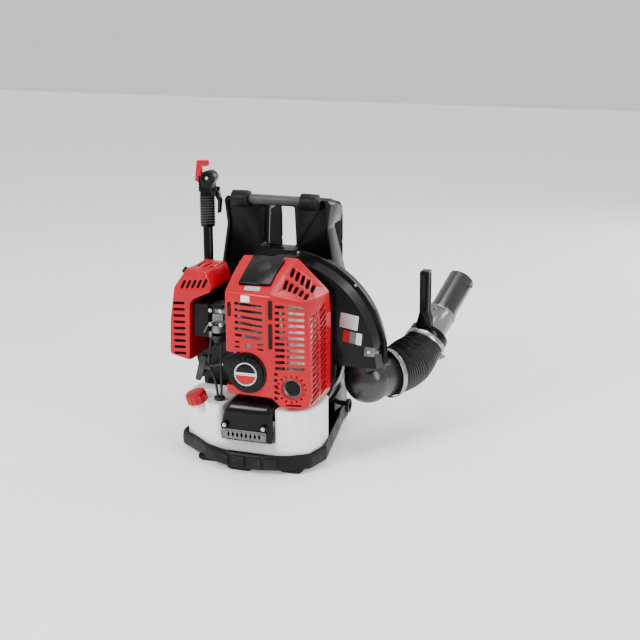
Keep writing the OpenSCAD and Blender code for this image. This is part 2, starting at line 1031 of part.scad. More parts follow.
air_cover_outline = [
    [-152, 206], [-149, 280], [-138, 352], [-112, 388], [-66, 386], [-52, 350], [-92, 332],
    [-102, 322], [-106, 196]
];

module air_cleaner_cover() {
    color([0.8, 0.05, 0.05])
        difference() {
            xz_slab(-114, -14)
                polygon(rounded(air_cover_outline, 5));
            xz_slab(-111, -10)
                offset(delta = -3)
                    polygon(rounded(air_cover_outline, 5));
            for (row = [0 : 8])
                xz_slab(-120, -105)
                    translate([-127, 318 - row * 13])
                        slot(24, 6);
            for (k = [0 : 4])
                translate([-122 + k * 12, -112, 352])
                    rotate([0, 22, 0])
                        cube([5, 30, 18], center = true);
        }
}

module air_cleaner_case() {
    color([0.04, 0.04, 0.042])
        difference() {
            translate([-101, -104, 250])
                cube([32.8, 90, 67]);
            translate([-104, -101, 253])
                cube([32, 84, 61]);
            translate([-80, cylinder_y, crank_z + 93])
                rotate([0, 90, 0])
                    linear_extrude(20)
                        circle(r = 9);
        }
}

module air_filter() {
    color([0.85, 0.83, 0.72])
        translate([-98, -99, 262])
            for (k = [0 : 7])
                translate([0, k * 10.6, 0])
                    cube([20, 6, 50]);
}

module filter_knob() {
    color([0.05, 0.05, 0.05])
        aimed([-127.4, -62, 367.6], [-0.81, 0, 0.585])
            union() {
                linear_extrude(8)
                    circle(r = 9);
                translate([0, 0, 8])
                    linear_extrude(6)
                        slot(15, 5);
            }
}

// ---------- fuel tank ----------

module tank_lobe(pts, z0, z1) {
    translate([0, 0, z0])
        linear_extrude(z1 - z0)
            polygon(rounded(pts, 10));
}

module fuel_tank() {
    color([0.93, 0.93, 0.9])
        difference() {
            union() {
                tank_lobe([
                    [-130, -80], [-102, -104], [-58, -138], [-26, -148], [-26, -20], [-130, -20]
                ], 28, 124);
                tank_lobe([[86, -152], [122, -148], [152, -126], [162, -84], [159, -20], [86, -20]], 28, 130);
                tank_lobe([[-46, -146], [110, -146], [110, -20], [-46, -20]], 28, 58);
                aimed(cap_foot, cap_dir)
                    linear_extrude(20)
                        circle(r = 17);
            }
            difference() {
                translate([-132, -142, 97])
                    cube([62, 84, 60]);
                aimed(cap_foot, cap_dir)
                    translate([0, 0, -10])
                        linear_extrude(30)
                            circle(r = 17);
            }
            aimed(cap_foot, cap_dir)
                translate([0, 0, -24])
                    linear_extrude(60)
                        circle(r = 14);
        }
}

module fuel_cap() {
    color([0.85, 0.05, 0.05])
        aimed(cap_foot, cap_dir)
            difference() {
                union() {
                    translate([0, 0, 10])
                        linear_extrude(18) {
                            circle(r = 20.5);
                            for (a = [0 : 30 : 330])
                                rotate(a)
                                    translate([20, 0])
                                        circle(r = 2);
                        }
                    translate([0, 0, 20])
                        linear_extrude(10)
                            circle(r = 19.5);
                }
                translate([0, 0, 9])
                    linear_extrude(11.3)
                        circle(r = 17.3);
            }
}

module tank_bracket() {
    color([0.02, 0.02, 0.024]) {
        xz_slab(-160, -154.3)
            polygon(rounded([[-24, 62], [84, 62], [78, 112], [66, 144], [8, 144], [-12, 120]], 6));
        translate([6, -156, 134])
            cube([58, 62, 6]);
        translate([6, -156, 60])
            cube([64, 62, 5]);
        for (x = [2, 62])
            translate([x, -156, 62])
                cube([6, 60, 75]);
        translate([crank_x - 26, -100, 139.9])
            cube([52, 48, 9.8]);
    }
}

module tank_clamp_plate() {
    color([0.25, 0.25, 0.26])
        difference() {
            xz_slab(-162.6, -160.3)
                polygon(rounded([[-18, 64], [76, 64], [74, 84], [-16, 84]], 4));
            for (k = [0 : 8])
                translate([-8 + k * 8, -164, 66])
                    cube([2.5, 2.4, 16]);
        }
}

module bracket_bolts() {
    color([0.75, 0.75, 0.77])
        for (x = [-12, 70])
            translate([x, -162.6, 92])
                rotate([90, 0, 0])
                    linear_extrude(5)
                        circle(r = 5, $fn = 6);
}

module fuel_lines() {
    color([0.04, 0.04, 0.04]) {
        translate([-44, -112, 124.2])
            linear_extrude(6)
                circle(r = 11);
        cord(smooth([[-47, -112, 128], [-52, -112, 160], [-66, -106, 200], [-62, -105, 251.6]], 4), 2.6);
        cord(smooth([[-40, -112, 128], [-40, -110, 158], [-44, -100, 210], [-42, -96, 261.6]], 4), 2.6);
    }
}

// ---------- throttle arm ----------

module arm_bracket() {
    color([0.05, 0.05, 0.052]) {
        translate([-139, 68, 76])
            cube([9.7, 48, 40]);
        translate([-138, 92, 96])
            rotate([0, -90, 0])
                linear_extrude(3)
                    circle(r = 16);
        translate([-130, 92, 96])
            rotate([0, -90, 0])
                linear_extrude(34)
                    circle(r = 5);
    }
}

module throttle_arm() {
    color([0.04, 0.04, 0.042])
        difference() {
            union() {
                translate(arm_pivot + [10.7, 0, 0])
                    rotate([0, -90, 0])
                        linear_extrude(21)
                            circle(r = 16);
                translate(arm_pivot + [0, 0, 10])
                    linear_extrude(424 - arm_pivot[2])
                        circle(r = 10.5);
            }
            translate(arm_pivot + [20, 0, 0])
                rotate([0, -90, 0])
                    linear_extrude(60)
                        circle(r = 5.05);
        }
}

module arm_head() {
    color([0.06, 0.06, 0.062])
        difference() {
            union() {
                translate([arm_pivot[0], arm_pivot[1], 434])
                    linear_extrude(78)
                        circle(r = 15.5);
                translate([arm_pivot[0] - 14, arm_pivot[1] - 12, 508])
                    cube([30, 24, 32]);
                translate([arm_pivot[0] + 6, arm_pivot[1] + 13, 538])
                    rotate([90, 0, 0])
                        linear_extrude(26)
                            circle(r = 15);
                translate([arm_pivot[0] + 13, arm_pivot[1] - 11, 502])
                    cube([12, 4, 16]);
                translate([arm_pivot[0] + 13, arm_pivot[1] + 7, 502])
                    cube([12, 4, 16]);
            }
            translate([arm_pivot[0] - 18, arm_pivot[1] - 5, 520])
                cube([16, 10, 60]);
        }
}

module throttle_trigger() {
    color([0.03, 0.03, 0.03])
        xz_slab(arm_pivot[1] - 6, arm_pivot[1] + 6)
            polygon(rounded([
                [trigger_pin[0] - 4, 512], [trigger_pin[0] + 5, 512], [trigger_pin[0] + 11, 490],
                [trigger_pin[0] + 8, 464], [trigger_pin[0] + 3, 464], [trigger_pin[0] + 4, 490],
                [trigger_pin[0] - 4, 504]
            ], 1.5));
}

module cruise_lever() {
    color([0.85, 0.06, 0.05])
        xz_slab(arm_pivot[1] - 4.5, arm_pivot[1] + 4.5)
            polygon(rounded([
                [arm_pivot[0] - 26, 530], [arm_pivot[0] - 17, 526], [arm_pivot[0] - 6, 528],
                [arm_pivot[0] - 4, 534], [arm_pivot[0] - 10.5, 542], [arm_pivot[0] - 11, 560],
                [arm_pivot[0] + 5, 562], [arm_pivot[0] + 5, 574], [arm_pivot[0] - 21, 573]
            ], 2.5));
}

module throttle_cable() {
    color([0.03, 0.03, 0.03])
        cord(smooth([
            [-134, 60, 122], [-134, 20, 126], [-132, -16, 136], [-116, -46, 156], [-88, -68, 190],
            [-66, -78, 226], [-60, -80, 256], [-60, -80, 273.8]
        ], 4), 2.5);
}

// ---------- harness ----------

module strap_anchors() {
    color([0.06, 0.06, 0.065])
        for (side = [-1, 1])
            translate([side * 154, 122, 56]) {
                rotate([0, 90, 0])
                    difference() {
                        linear_extrude(6, center = true)
                            circle(r = 15);
                        linear_extrude(8, center = true)
                            circle(r = 9);
                    }
                translate([-side * 11.2, 12, 0])
                    cube([28.2, 8, 8], center = true);
            }
}

module back_pad() {
    color([0.05, 0.05, 0.055])
        xz_slab(191, 214)
            polygon(rounded([[-96, 96], [96, 96], [104, 240], [92, 370], [-92, 370], [-104, 240]], 20));
}

strap_face = [[201, 460], [214, 474], [236, 456], [240, 400], [238, 320], [230, 250]];

// a strap's side view: a band of even thickness that follows the strap's inner face
function band(line, thick) = concat(
    line,
    [
        for (i = [len(line) - 1 : -1 : 0])
            let (d = unit(line[min(i + 1, len(line) - 1)] - line[max(i - 1, 0)]))
            line[i] + thick * [-d[1], d[0]]
    ]
);

module shoulder_strap(side) {
    color([0.04, 0.04, 0.045])
        translate([side * 70, 0, 0])
            yz_slab(-28, 28)
                polygon(band(smooth(strap_face, 4), 12));
}

module shoulder_strap_left() {
    shoulder_strap(-1);
}

module shoulder_strap_right() {
    shoulder_strap(1);
}

module strap_webbing() {
    color([0.05, 0.05, 0.05])
        for (side = [-1, 1])
            translate([side * 70, 0, 0])
                yz_slab(-15, 15)
                    polygon(band([[236, 242], [232, 180], [222, 110], [198, 60]], 2));
}

module strap_buckles() {
    color([0.06, 0.06, 0.065])
        for (side = [-1, 1])
            translate([side * 70, 0, 0]) {
                translate([-20, 232, 243.5])
                    cube([40, 12, 4]);
                translate([-22, 190.5, 41])
                    cube([44, 7, 18]);
            }
}

base_tray();
back_frame();
carry_handle();
handle_knuckles();
av_mounts();
fan_case_front();
fan_case_rear();
inlet_grille();
case_screws();
outlet_elbow();
hose_clamp_inner();
crankcase();
cylinder_block();
spark_plug();
ignition_lead();
ignition_coil();
carburetor();
intake_insulator();
muffler();
engine_cover();
cylinder_cap_panel();
starter_case();
air_cleaner_case();
air_filter();
air_cleaner_cover();
fuel_tank();
tank_bracket();
tank_clamp_plate();
bracket_bolts();
fuel_lines();
throttle_cable();
arm_bracket();
strap_anchors();
back_pad();
shoulder_strap_left();
shoulder_strap_right();
strap_webbing();
strap_buckles();
crank_bearings();
crankshaft();
flywheel();
impeller();
piston();
connecting_rod();
starter_reel();
starter_grip();
starter_rope();
fuel_cap();
throttle_arm();
arm_head();
throttle_trigger();
cruise_lever();
flex_hose();
hose_clamp_outer();
swivel_pipe();
control_handle();
straight_pipe();
filter_knob();
choke_lever();
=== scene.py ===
import json
import math

import bmesh
import bpy
from mathutils import Matrix, Vector


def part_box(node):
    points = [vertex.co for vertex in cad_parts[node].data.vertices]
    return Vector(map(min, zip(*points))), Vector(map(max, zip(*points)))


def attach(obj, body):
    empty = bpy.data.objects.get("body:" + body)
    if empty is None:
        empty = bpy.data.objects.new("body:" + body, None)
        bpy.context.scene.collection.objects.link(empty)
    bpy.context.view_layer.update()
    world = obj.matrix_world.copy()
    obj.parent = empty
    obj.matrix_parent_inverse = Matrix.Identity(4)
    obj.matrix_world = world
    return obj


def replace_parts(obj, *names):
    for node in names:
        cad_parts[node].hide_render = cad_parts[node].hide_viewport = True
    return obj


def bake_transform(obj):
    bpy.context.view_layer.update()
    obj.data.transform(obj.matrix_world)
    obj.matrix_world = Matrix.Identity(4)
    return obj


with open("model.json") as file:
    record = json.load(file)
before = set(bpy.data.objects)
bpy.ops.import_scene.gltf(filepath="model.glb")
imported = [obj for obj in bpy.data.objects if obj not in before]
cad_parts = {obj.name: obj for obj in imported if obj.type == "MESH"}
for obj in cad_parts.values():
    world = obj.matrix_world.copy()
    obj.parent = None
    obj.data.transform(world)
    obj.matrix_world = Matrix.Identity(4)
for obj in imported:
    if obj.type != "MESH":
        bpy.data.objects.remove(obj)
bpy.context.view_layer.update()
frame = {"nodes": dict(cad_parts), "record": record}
MM = 0.001
BODY = {n: b for b, nodes in frame["record"]["behaviour"]["bodies"].items() for n in nodes}
JOINTS = {joint["name"]: joint for joint in frame["record"]["behaviour"]["joints"]}


# ---------- materials ----------

class Shader:
    """A principled material and the nodes that feed it, in object coordinates."""

    def __init__(self, name, color, rough=0.5, metal=0.0, **sockets):
        self.mat = bpy.data.materials.new(name)
        self.mat.use_nodes = True
        self.tree = self.mat.node_tree
        self.bsdf = self.tree.nodes["Principled BSDF"]
        self.color = tuple(color) + (1.0,)
        self.rough = rough
        self.bsdf.inputs["Base Color"].default_value = self.color
        self.bsdf.inputs["Roughness"].default_value = rough
        self.bsdf.inputs["Metallic"].default_value = metal
        for key, value in sockets.items():
            self.bsdf.inputs[key.replace("_", " ")].default_value = value
        self.coords = self.tree.nodes.new("ShaderNodeTexCoord")
        self.bump_end = None

    def link(self, a, b):
        self.tree.links.new(a, b)

    def noise(self, scale, detail=4.0, stretch=(1, 1, 1), roughness=0.55):
        mapping = self.tree.nodes.new("ShaderNodeMapping")
        mapping.inputs["Scale"].default_value = stretch
        tex = self.tree.nodes.new("ShaderNodeTexNoise")
        tex.inputs["Scale"].default_value = scale
        tex.inputs["Detail"].default_value = detail
        tex.inputs["Roughness"].default_value = roughness
        self.link(self.coords.outputs["Object"], mapping.inputs["Vector"])
        self.link(mapping.outputs["Vector"], tex.inputs["Vector"])
        return tex.outputs["Fac"]

    def wave(self, scale, direction="X", profile="SIN", distortion=0.0):
        tex = self.tree.nodes.new("ShaderNodeTexWave")
        tex.bands_direction = direction
        tex.wave_profile = profile
        tex.inputs["Scale"].default_value = scale
        tex.inputs["Distortion"].default_value = distortion
        self.link(self.coords.outputs["Object"], tex.inputs["Vector"])
        return tex.outputs["Fac"]

    def span(self, value, lo, hi, out_lo, out_hi):
        node = self.tree.nodes.new("ShaderNodeMapRange")
        for key, number in zip(("From Min", "From Max", "To Min", "To Max"), (lo, hi, out_lo, out_hi)):
            node.inputs[key].default_value = number
        self.link(value, node.inputs["Value"])
        return node.outputs["Result"]

    def math(self, operation, a, b):
        node = self.tree.nodes.new("ShaderNodeMath")
        node.operation = operation
        for value, socket in ((a, node.inputs[0]), (b, node.inputs[1])):
            if isinstance(value, (int, float)):
                socket.default_value = value
            else:
                self.link(value, socket)
        return node.outputs["Value"]

    def tint(self, factor, other):
        """Mixes the colour so far with another one, by factor."""
        mix = self.tree.nodes.new("ShaderNodeMix")
        mix.data_type = "RGBA"
        self.link(factor, mix.inputs["Factor"])
        before = self.bsdf.inputs["Base Color"]
        if before.is_linked:
            self.link(before.links[0].from_socket, mix.inputs["A"])
        else:
            mix.inputs["A"].default_value = self.color
        mix.inputs["B"].default_value = tuple(other) + (1.0,)
        self.link(mix.outputs["Result"], before)

    def vary_rough(self, factor, lo, hi):
        self.link(self.span(factor, 0.3, 0.7, lo, hi), self.bsdf.inputs["Roughness"])

    def bump(self, height, distance, strength=1.0):
        node = self.tree.nodes.new("ShaderNodeBump")
        node.inputs["Distance"].default_value = distance
        node.inputs["Strength"].default_value = strength
        self.link(height, node.inputs["Height"])
        if self.bump_end:
            self.link(self.bump_end, node.inputs["Normal"])
        self.bump_end = node.outputs["Normal"]
        self.link(self.bump_end, self.bsdf.inputs["Normal"])

    def dust(self, amount, color=(0.35, 0.33, 0.3)):
        """Faint dust and handling marks in soft patches."""
        patches = self.noise(14, 6)
        self.tint(self.span(patches, 0.52, 0.75, 0.0, amount), color)


def moulded(name, color, rough, grain=0.00006, dust=0.03, coat=0.0, specular=0.3):
    """Injection moulded plastic: fine skin grain, slow flow waves and slightly uneven gloss."""
    s = Shader(name, color, rough)
    s.bsdf.inputs["Specular IOR Level"].default_value = specular
    s.bsdf.inputs["Coat Weight"].default_value = coat
    s.bsdf.inputs["Coat Roughness"].default_value = 0.08
    s.tint(s.span(s.noise(30, 3), 0.35, 0.65, 0.0, 0.35), [c * 0.72 for c in color])
    s.dust(dust)
    s.vary_rough(s.noise(60, 5), rough * 0.8, min(1.0, rough * 1.3))
    s.bump(s.noise(2400, 2), grain)
    s.bump(s.noise(18, 2), 0.0006, 0.35)
    return s.mat


def metal(name, color, rough, grain_scale=900, grain=0.00005, stretch=(1, 1, 1), stain=None):
    s = Shader(name, color, rough, metal=1.0)
    s.tint(s.span(s.noise(40, 5), 0.4, 0.7, 0.0, 0.5), [c * 0.7 for c in color])
    if stain:
        s.tint(s.span(s.noise(9, 4), 0.45, 0.65, 0.0, 0.7), stain)
    s.vary_rough(s.noise(120, 5, stretch), rough * 0.7, min(1.0, rough * 1.5))
    s.bump(s.noise(grain_scale, 3, stretch), grain)
    return s.mat


def rubber(name, color, rough=0.75):
    s = Shader(name, color, rough)
    s.dust(0.12)
    s.vary_rough(s.noise(90, 4), rough * 0.85, min(1.0, rough * 1.15))
    s.bump(s.noise(1500, 3), 0.00008)
    return s.mat


WAVE_PERIOD = math.pi / 10  # length of one wave of the wave texture at scale 1


def woven(name, color, pitch, depth, sheen=0.3):
    """Cloth: two crossed sets of threads, with soft fading between patches."""
    s = Shader(name, color, 0.9)
    s.bsdf.inputs["Sheen Weight"].default_value = sheen
    s.bsdf.inputs["Sheen Roughness"].default_value = 0.5
    across = s.wave(WAVE_PERIOD / pitch, "X")
    along = s.wave(WAVE_PERIOD / pitch, "Z")
    weave = s.math("MULTIPLY", across, along)
    s.tint(s.span(weave, 0.0, 1.0, 0.0, 0.6), [min(1, c * 2.2 + 0.02) for c in color])
    s.tint(s.span(s.noise(22, 4), 0.4, 0.7, 0.0, 0.4), [c * 0.6 for c in color])
    s.bump(weave, depth)
    s.bump(s.noise(400, 4), depth * 0.5)
    return s.mat


def tank_plastic():
    """Milky translucent polyethylene, faintly darker in soft patches at random."""
    s = Shader("tank_white", (0.9, 0.91, 0.89), 0.38)
    s.bsdf.inputs["Subsurface Weight"].default_value = 0.35
    s.bsdf.inputs["Subsurface Radius"].default_value = (0.02, 0.02, 0.018)
    s.bsdf.inputs["Subsurface Scale"].default_value = 0.5
    s.tint(s.span(s.noise(12, 4), 0.45, 0.7, 0.0, 0.3), (0.8, 0.81, 0.79))
    s.vary_rough(s.noise(70, 4), 0.3, 0.46)
    s.bump(s.noise(900, 3), 0.00006)
    s.bump(s.noise(14, 2), 0.0008, 0.4)
    return s.mat


RED = (0.44, 0.0, 0.009)
MATERIALS = {
    "matte_black": moulded("matte_black", (0.007, 0.007, 0.008), 0.42, 0.00012, 0.04, 0.0, 0.14),
    "gloss_black": moulded("gloss_black", (0.002, 0.002, 0.0025), 0.2, 0.00002, 0.01, 0.06, 0.14),
    "grip_grey": rubber("grip_grey", (0.05, 0.05, 0.053), 0.5),
    "rubber_black": rubber("rubber_black", (0.006, 0.006, 0.0065), 0.5),
    "red_plastic": moulded("red_plastic", RED, 0.28, 0.00003, 0.0, 0.1, 0.2),
    "tank_white": tank_plastic(),
    "cast_alloy": metal("cast_alloy", (0.4, 0.4, 0.41), 0.45, 700, 0.00015),
    "bright_steel": metal("bright_steel", (0.55, 0.55, 0.56), 0.25, 1600, 0.00002, (1, 1, 6)),
    "muffler_steel": metal(
        "muffler_steel", (0.72, 0.7, 0.68), 0.28, 900, 0.00004, (1, 1, 5), (0.45, 0.36, 0.28)
    ),
    "dark_steel": metal("dark_steel", (0.18, 0.18, 0.19), 0.4, 900, 0.00005),
    "ceramic_white": moulded("ceramic_white", (0.8, 0.8, 0.78), 0.2, 0.00001, 0.05),
    "hose_black": moulded("hose_black", (0.012, 0.012, 0.015), 0.26, 0.00003, 0.02, 0.0, 0.6),
    "pipe_grey": moulded("pipe_grey", (0.014, 0.014, 0.015), 0.2, 0.00002, 0.02, 0.3, 0.5),
    "filter_cream": woven("filter_cream", (0.75, 0.7, 0.55), 0.0012, 0.0001, 0.0),
    "pad_fabric": woven("pad_fabric", (0.022, 0.022, 0.025), 0.002, 0.0004, 0.2),
    "web_black": woven("web_black", (0.01, 0.01, 0.012), 0.0022, 0.0004, 0.1),
}
CLAMP_STEEL = metal("clamp_steel", (0.34, 0.34, 0.35), 0.25, 1600, 0.00002)
CARB_ALLOY = metal("carburetor_alloy", (0.2, 0.2, 0.21), 0.42, 700, 0.0002)
PIPE_LIGHT = moulded("pipe_light", (0.16, 0.16, 0.165), 0.16, 0.00002, 0.02, 0.5, 0.6)
SLOT = {s["node"]: s["material_slot"] for s in frame["record"]["subparts"]}


# ---------- mesh helpers ----------

def box_mm(node):
    """Lowest and highest corner of a CAD node at rest, in millimetres."""
    low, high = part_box(node)
    return low / MM, high / MM


def joint_mm(name):
    """Where a joint's axis passes, in millimetres."""
    return Vector(JOINTS[name]["pos_m"]) / MM


def new_object(name, mesh, slot):
    obj = bpy.data.objects.new(name, mesh)
    bpy.context.collection.objects.link(obj)
    mesh.materials.clear()
    mesh.materials.append(MATERIALS[slot])
    return obj


def from_bmesh(name, bm, slot):
    bmesh.ops.recalc_face_normals(bm, faces=bm.faces)
    mesh = bpy.data.meshes.new(name)
    bm.to_mesh(mesh)
    bm.free()
    return new_object(name, mesh, slot)


def applied(obj):
    """Turns the object's modifiers into mesh."""
    graph = bpy.context.evaluated_depsgraph_get()
    graph.update()
    mesh = bpy.data.meshes.new_from_object(obj.evaluated_get(graph))
    obj.modifiers.clear()
    obj.data = mesh
    return obj


def smooth(obj, angle=35):
    """Shades smooth, with edges sharper than the angle kept."""
    mesh = obj.data
    mesh.shade_smooth()
    mesh.set_sharp_from_angle(angle=math.radians(angle))
    return obj


def soften(obj, width, segments=2, angle=35):
    """Rounds every hard edge a little."""
    mod = obj.modifiers.new("edge", "BEVEL")
    mod.width = width
    mod.segments = segments
    mod.limit_method = "ANGLE"
    mod.angle_limit = math.radians(angle)
    mod.miter_outer = "MITER_ARC"
    mod.use_clamp_overlap = True
    mod.harden_normals = False
    applied(obj)
    return smooth(obj, angle)


def cleaned_copy(node, name):
    """A copy of a CAD node's mesh with its triangles joined into whole faces."""
    bm = bmesh.new()
    bm.from_mesh(frame["nodes"][node].data)
    bmesh.ops.remove_doubles(bm, verts=bm.verts, dist=0.00002)
    bmesh.ops.dissolve_limit(bm, angle_limit=math.radians(1.0), verts=bm.verts, edges=bm.edges)
    return from_bmesh(name, bm, SLOT[node])


def stand_in(obj, node):
    """obj takes the place of a CAD node and moves with its body."""
    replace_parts(obj, node)
    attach(obj, BODY[node])
    return obj


def dressed(node, width=0.0006, segments=2):
    """The CAD node's own shape with softened edges."""
    obj = soften(cleaned_copy(node, node + "_finish"), width, segments)
    return stand_in(obj, node)


def boolean(obj, cutter, operation="DIFFERENCE", overlapping=False):
    mod = obj.modifiers.new("cut", "BOOLEAN")
    mod.operation = operation
    mod.solver = "EXACT"
    mod.object = cutter
    mod.use_self = overlapping
    applied(obj)
    bpy.data.objects.remove(cutter, do_unlink=True)
    return obj


def add_loops(bm, loops, closed=True, caps=True):
    """Skins rings of points, given in metres, into bm."""
    rings = [[bm.verts.new(p) for p in loop] for loop in loops]
    count = len(rings[0])
    for a, b in zip(rings, rings[1:]):
        for k in range(count if closed else count - 1):
            n = (k + 1) % count
            bm.faces.new((a[k], a[n], b[n], b[k]))
    if caps:
        bm.faces.new(rings[0])
        bm.faces.new(list(reversed(rings[-1])))
    return rings


def rounded(points, radius, steps=4):
    """A closed outline with its corners rounded."""
    out = []
    pts = [Vector(p) for p in points]
    for i, p in enumerate(pts):
        a = (pts[i - 1] - p).normalized()
        b = (pts[(i + 1) % len(pts)] - p).normalized()
        half = a.angle(b) / 2
        centre = p + (a + b).normalized() * radius / math.sin(half)
        pa = p + a * radius / math.tan(half) - centre
        pb = p + b * radius / math.tan(half) - centre
        for k in range(steps + 1):
            out.append(centre + (pa.lerp(pb, k / steps)).normalized() * radius)
    return out


def slab_xz(bm, outline, y0, y1, scale=MM):
    """A prism from an outline in X and Z between two values of Y."""
    add_loops(bm, [[(x * scale, y * scale, z * scale) for x, z in outline] for y in (y0, y1)])


def slot_outline(cx, cz, w, h, turn=0.0, steps=5):
    """A long hole with round ends, w long and h high."""
    r = h / 2
    half = max(w / 2 - r, 0.01)
    pts = []
    for side in (1, -1):
        for k in range(steps + 1):
            a = math.radians(-90 + 180 * k / steps + (0 if side > 0 else 180))
            pts.append((side * half + r * math.cos(a), r * math.sin(a)))
    c, s = math.cos(math.radians(turn)), math.sin(math.radians(turn))
    return [(cx + x * c - z * s, cz + x * s + z * c) for x, z in pts]


def aimed(point, direction):
    """Matrix that moves the Z axis onto a direction, with the origin at point (mm)."""
    turn = Vector(direction).to_track_quat("Z", "Y").to_matrix().to_4x4()
    return Matrix.Translation(Vector(point) * MM) @ turn


def lathe(bm, profile, matrix, sides=48, cap=False):
    """Turns (radius, height) pairs in mm about the matrix's Z axis."""
    rings = []
    for r, h in profile:
        rings.append([
            matrix @ Vector((
                r * MM * math.cos(2 * math.pi * k / sides),
                r * MM * math.sin(2 * math.pi * k / sides),
                h * MM,
            ))
            for k in range(sides)
        ])
    return add_loops(bm, rings, caps=cap)


# ---------- engine cover ----------

CRANK_X, _, CRANK_Z = joint_mm("crank_spin")
EXHAUST = (126, 177)
RIM_Y = -42
WALL = 2.6


def prism(bm, outline, depth0, depth1, place):
    """An outline in the plane of place, pushed along its Z from depth0 to depth1 (mm)."""
    add_loops(bm, [[place @ Vector((x * MM, y * MM, d * MM)) for x, y in outline] for d in (depth0, depth1)])


def facing_front(x, y, z):
    """Local X to the object's X, local Y up and local Z towards the front."""
    return Matrix.Translation(Vector((x, y, z)) * MM) @ Matrix.Rotation(math.pi / 2, 4, "X")


def facing_right(x, y, z):
    """Local X towards the back, local Y up and local Z to the right."""
    turn = Matrix(((0, 0, 1), (1, 0, 0), (0, 1, 0))).to_4x4()
    return Matrix.Translation(Vector((x, y, z)) * MM) @ turn


def facing_up(x, y, z):
    return Matrix.Translation(Vector((x, y, z)) * MM)


def arc_points(cx, cz, r, start, end, steps):
    return [
        (cx + r * math.cos(math.radians(a)), cz + r * math.sin(math.radians(a)))
        for a in (start + (end - start) * k / steps for k in range(steps + 1))
    ]


def cover_cuts():
    """Everything cut out of the red cover, as one closed mesh."""
    bm = bmesh.new()
    front = facing_front(0, -150, 0)
    for row in range(6):
        prism(bm, slot_outline(39, 338 - row * 12.6, 60, 6, -2), -12, 30, front)
    for row in range(2):
        prism(bm, slot_outline(14, 262 - row * 10, 11, 4.4), -12, 30, front)
        prism(bm, slot_outline(64, 262 - row * 10, 13, 4.4), -12, 30, front)
    prism(bm, slot_outline(-2, 326, 30, 8, 90), -12, 30, front)
    prism(bm, arc_points(39, 256, 5.4, 0, 342, 19), -12, 30, front)
    for row in range(16):
        z = 340 - row * 12.2
        by_guard = abs(z - EXHAUST[1]) < 32
        prism(bm, slot_outline(96 if by_guard else 104, z, 8 if by_guard else 20, 6.2), -8, 30, front)
    for row in range(11):
        prism(bm, slot_outline(134, 340 - row * 12.2, 34, 6.2), -8, 30, front)
    prism(bm, slot_outline(130, 144, 30, 3.2), -8, 30, front)
    for k in range(16):
        turn = facing_front(EXHAUST[0], -150, EXHAUST[1]) @ Matrix.Rotation(2 * math.pi * k / 16, 4, "Z")
        prism(bm, slot_outline(26.6, 0, 5.4, 3), -8, 30, turn)
    for col in range(2):
        for row in range(16):
            place = facing_right(150, -122 + col * 40, 316 - row * 11 + col * 7)
            prism(bm, slot_outline(0, 0, 34, 7, 20), 0, 30, place)
    for row in range(2):
        for k in range(5):
            place = facing_up(103 + k * 10.5, -120 + row * 38, 335)
            prism(bm, slot_outline(0, 0, 29, 6.8, 96), 0, 80, place)
    prism(bm, arc_points(CRANK_X, CRANK_Z, 41, 0, 355, 71), -4, 30, front)
    prism(bm, arc_points(EXHAUST[0], EXHAUST[1], 20.5, 0, 352.5, 47), -4, 30, front)
    for lo, hi in (
        ((-24, -158, 172), (6, -97, 240)),
        ((11, -134, 350), (77, -54, 430)),
        ((-30, -120, 168), (2, -30, 345)),
        ((-4, -118, 138), (82, -30, 160)),
    ):
        outline = [(lo[0], lo[1]), (hi[0], lo[1]), (hi[0], hi[1]), (lo[0], hi[1])]
        prism(bm, outline, lo[2], hi[2], facing_up(0, 0, 0))
    return from_bmesh("cover_cuts", bm, "red_plastic")


